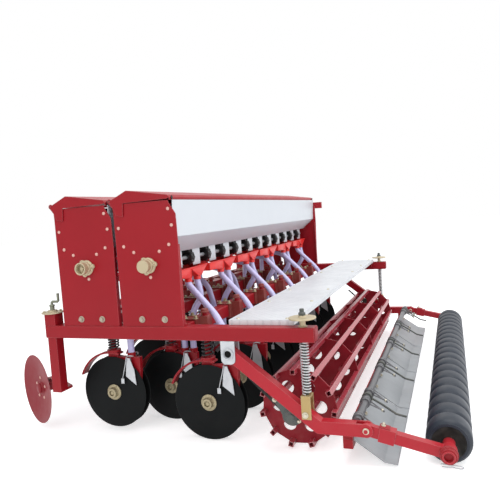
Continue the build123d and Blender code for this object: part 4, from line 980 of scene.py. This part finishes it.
def ribbed_roller():
    """Rounded rubber rings on a tube, with webbed ends."""
    press = joint_at["press_roller"]
    rings, half = 20, box_mm("press_roller")[1].x
    pitch = 2 * half / rings
    valley, shoulder = 76, 86.5
    stations = [(-half, valley)]
    for ring in range(rings):
        begin = -half + ring * pitch
        for part, radius in ((0.05, valley), (0.12, shoulder), (0.2, 89.6), (0.5, 90), (0.8, 89.6), (0.88, shoulder),
                             (0.95, valley)):
            stations.append((begin + part * pitch, radius))
        if ring < rings - 1:
            stations.append((begin + pitch, 73))
    stations += [(half, valley), (half, 66)]
    roller = turned("rubber_rings", stations, 40, "X", (0, press.y, press.z))
    dress(roller, "slate_rubber", "press_roller", 50)
    ends = turned("roller_end", [(0, 66), (0.5, 66), (-8, 62), (-30, 60), (-34, 56), (-34, 32), (-28, 30), (-14, 29),
                                 (-12, 26)], 32)
    dress(copies(ends, both_sides(half, press.y, press.z)), "black_rubber", "press_roller", 40)
    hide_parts("press_roller")


# ---------------------------------------------------------------- board springs
def board_tines():
    """Pairs of collars on the pipe with two thin rods each, and a bent stay between the pairs."""
    low, high = box_mm("tine_pipe")
    pipe_y, pipe_z = (low.y + high.y) / 2, (low.z + high.z) / 2
    groups = [75 + 510 * k for k in range(-2, 3)]
    end_collar = -1190
    rods, collars, nuts, stays = [], [], [], []
    for x in [x + side * 60 for x in groups for side in (-1, 1)] + [end_collar]:
        collars.append(turned("collar", [(-15, 17.4), (-15, 22), (-13.5, 23.8), (-6, 23.8), (-5, 21.5), (5, 21.5),
                                         (6, 23.8), (13.5, 23.8), (15, 22), (15, 17.4)], 20, "X",
                              (x, pipe_y, pipe_z)))
        for dx, end_y, end_z in ((-11, -845, 147), (11, -842, 134)):
            root = Vector((x + dx, pipe_y - 19, pipe_z + (3 if dx > 0 else -3)))
            tip = Vector((x + dx, end_y, end_z))
            rods.append(wire("tine", [root, tip], 3.2, sides=3))
            run = (tip - root).normalized()
            nuts.append(turned("tine_nut", [(0, 5.6), (7, 5.6)], 6, run, tip - run * 13))
    for x in groups:
        stays.append(wire("stay", [(x, pipe_y - 21, pipe_z - 3), (x, -820, 154), (x, -874, 118), (x, -886, 110),
                                   (x, -898, 107), (x, -930, 100)], 4.9, sides=3))
        stays.append(turned("stay_eye", [(-7, 17.4), (-7, 22), (-6, 23.8), (6, 23.8), (7, 22), (7, 17.4)], 20, "X",
                            (x, pipe_y, pipe_z)))
    tines = dress(joined("thin_tines", *rods), "tine_steel")
    dress(joined("pipe_collars", *collars), "tine_steel")
    dress(joined("tine_nuts", *nuts), "pale_zinc")
    dress(joined("board_stays", *stays), "dark_steel")
    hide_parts("board_springs")


def board_hems():
    """Rolled rims round the levelling boards, and the bolts along their tops."""
    boards, gap, board_end = 4, 12, 1224
    half = (2 * board_end - (boards - 1) * gap) / boards / 2
    rims = []
    for k in range(boards):
        x = -board_end + half + k * (2 * half + gap)
        for rim_x in (x - half + 2.5, x + half - 2.5):
            rims.append(wire("board_rim", [(rim_x, -744, 99), (rim_x, -860, 18), (rim_x, -912, 12)], 2.4))
        rims.append(wire("board_edge", [(x - half + 3, -912, 11), (x + half - 3, -912, 11)], 2.4))
    dress(joined("board_hems", *rims), "grey_sheet")
    bolt = hex_bolt("board_bolt", 12, 0.6, 6)
    bolt.data.transform(Matrix.Rotation(math.radians(36), 4, "X"))
    dress(copies(bolt, [(x, -752, 104) for x in range(-1140, 1141, 190)]), "pale_zinc")


def footboard_bolts():
    """Round bolt heads along the footboard's ends, and its rolled rims."""
    low, high = box_mm("footboard")
    head = turned("board_screw", [(0, 9), (2, 8.5), (4.5, 5), (5, 2)], 12)
    spots = [(side * x, y, high.z) for side in (-1, 1) for x in (1205, 780, 400) for y in (low.y + 34, high.y - 34)]
    dress(copies(head, spots), "pale_zinc")
    rims = [wire("rim", [(low.x + 3, y, high.z - 1.5), (high.x - 3, y, high.z - 1.5)], 2.8)
            for y in (low.y + 2.5, high.y - 2.5)]
    dress(joined("footboard_rims", *rims), "white_sheet")


def frame_fittings():
    """End caps of the side beams, and the clips of the lower link pins."""
    low, high = box_mm("side_beams")
    cap = slab("beam_cap", (-27, -2.5, -27), (27, 2.5, 27), 4)
    ends = [(x, y, 538) for x in (-BEAM_X, BEAM_X) for y in (low.y - 1.5, high.y + 1.5)]
    dress(copies(cap, ends), "dark_red_paint")
    clip = wire("linch_clips", [(0, 0, 26), (0, 0, -24), (4, 0, -28), (14, -2, -26), (24, -14, -8), (24, -16, 8),
                                (12, -4, 24), (3, 0, 28)], 2.2, smooth=True)
    pin_x, pin_y, pin_z = 500, 1162, 470
    spots = [Matrix.Translation(Vector((side * pin_x, pin_y, pin_z)) * MM)
             @ Matrix.Rotation(math.pi / 2 * (1 - side), 4, "Z") for side in (-1, 1)]
    dress(copies(clip, spots), "galvanised")


hopper_fittings()
rate_knobs()
metering("seed", "rear", "seed_shaft")
metering("fertiliser", "front", "fertiliser_shaft")
funnels("seed", "rear")
funnels("fertiliser", "front")
opener_discs()
opener_springs()
clamp_bolts()
scraper_rods()
corner_fittings()
depth_struts()
arm_fittings()
rear_arm_fittings()
ribbed_roller()
board_tines()
board_hems()
footboard_bolts()
frame_fittings()
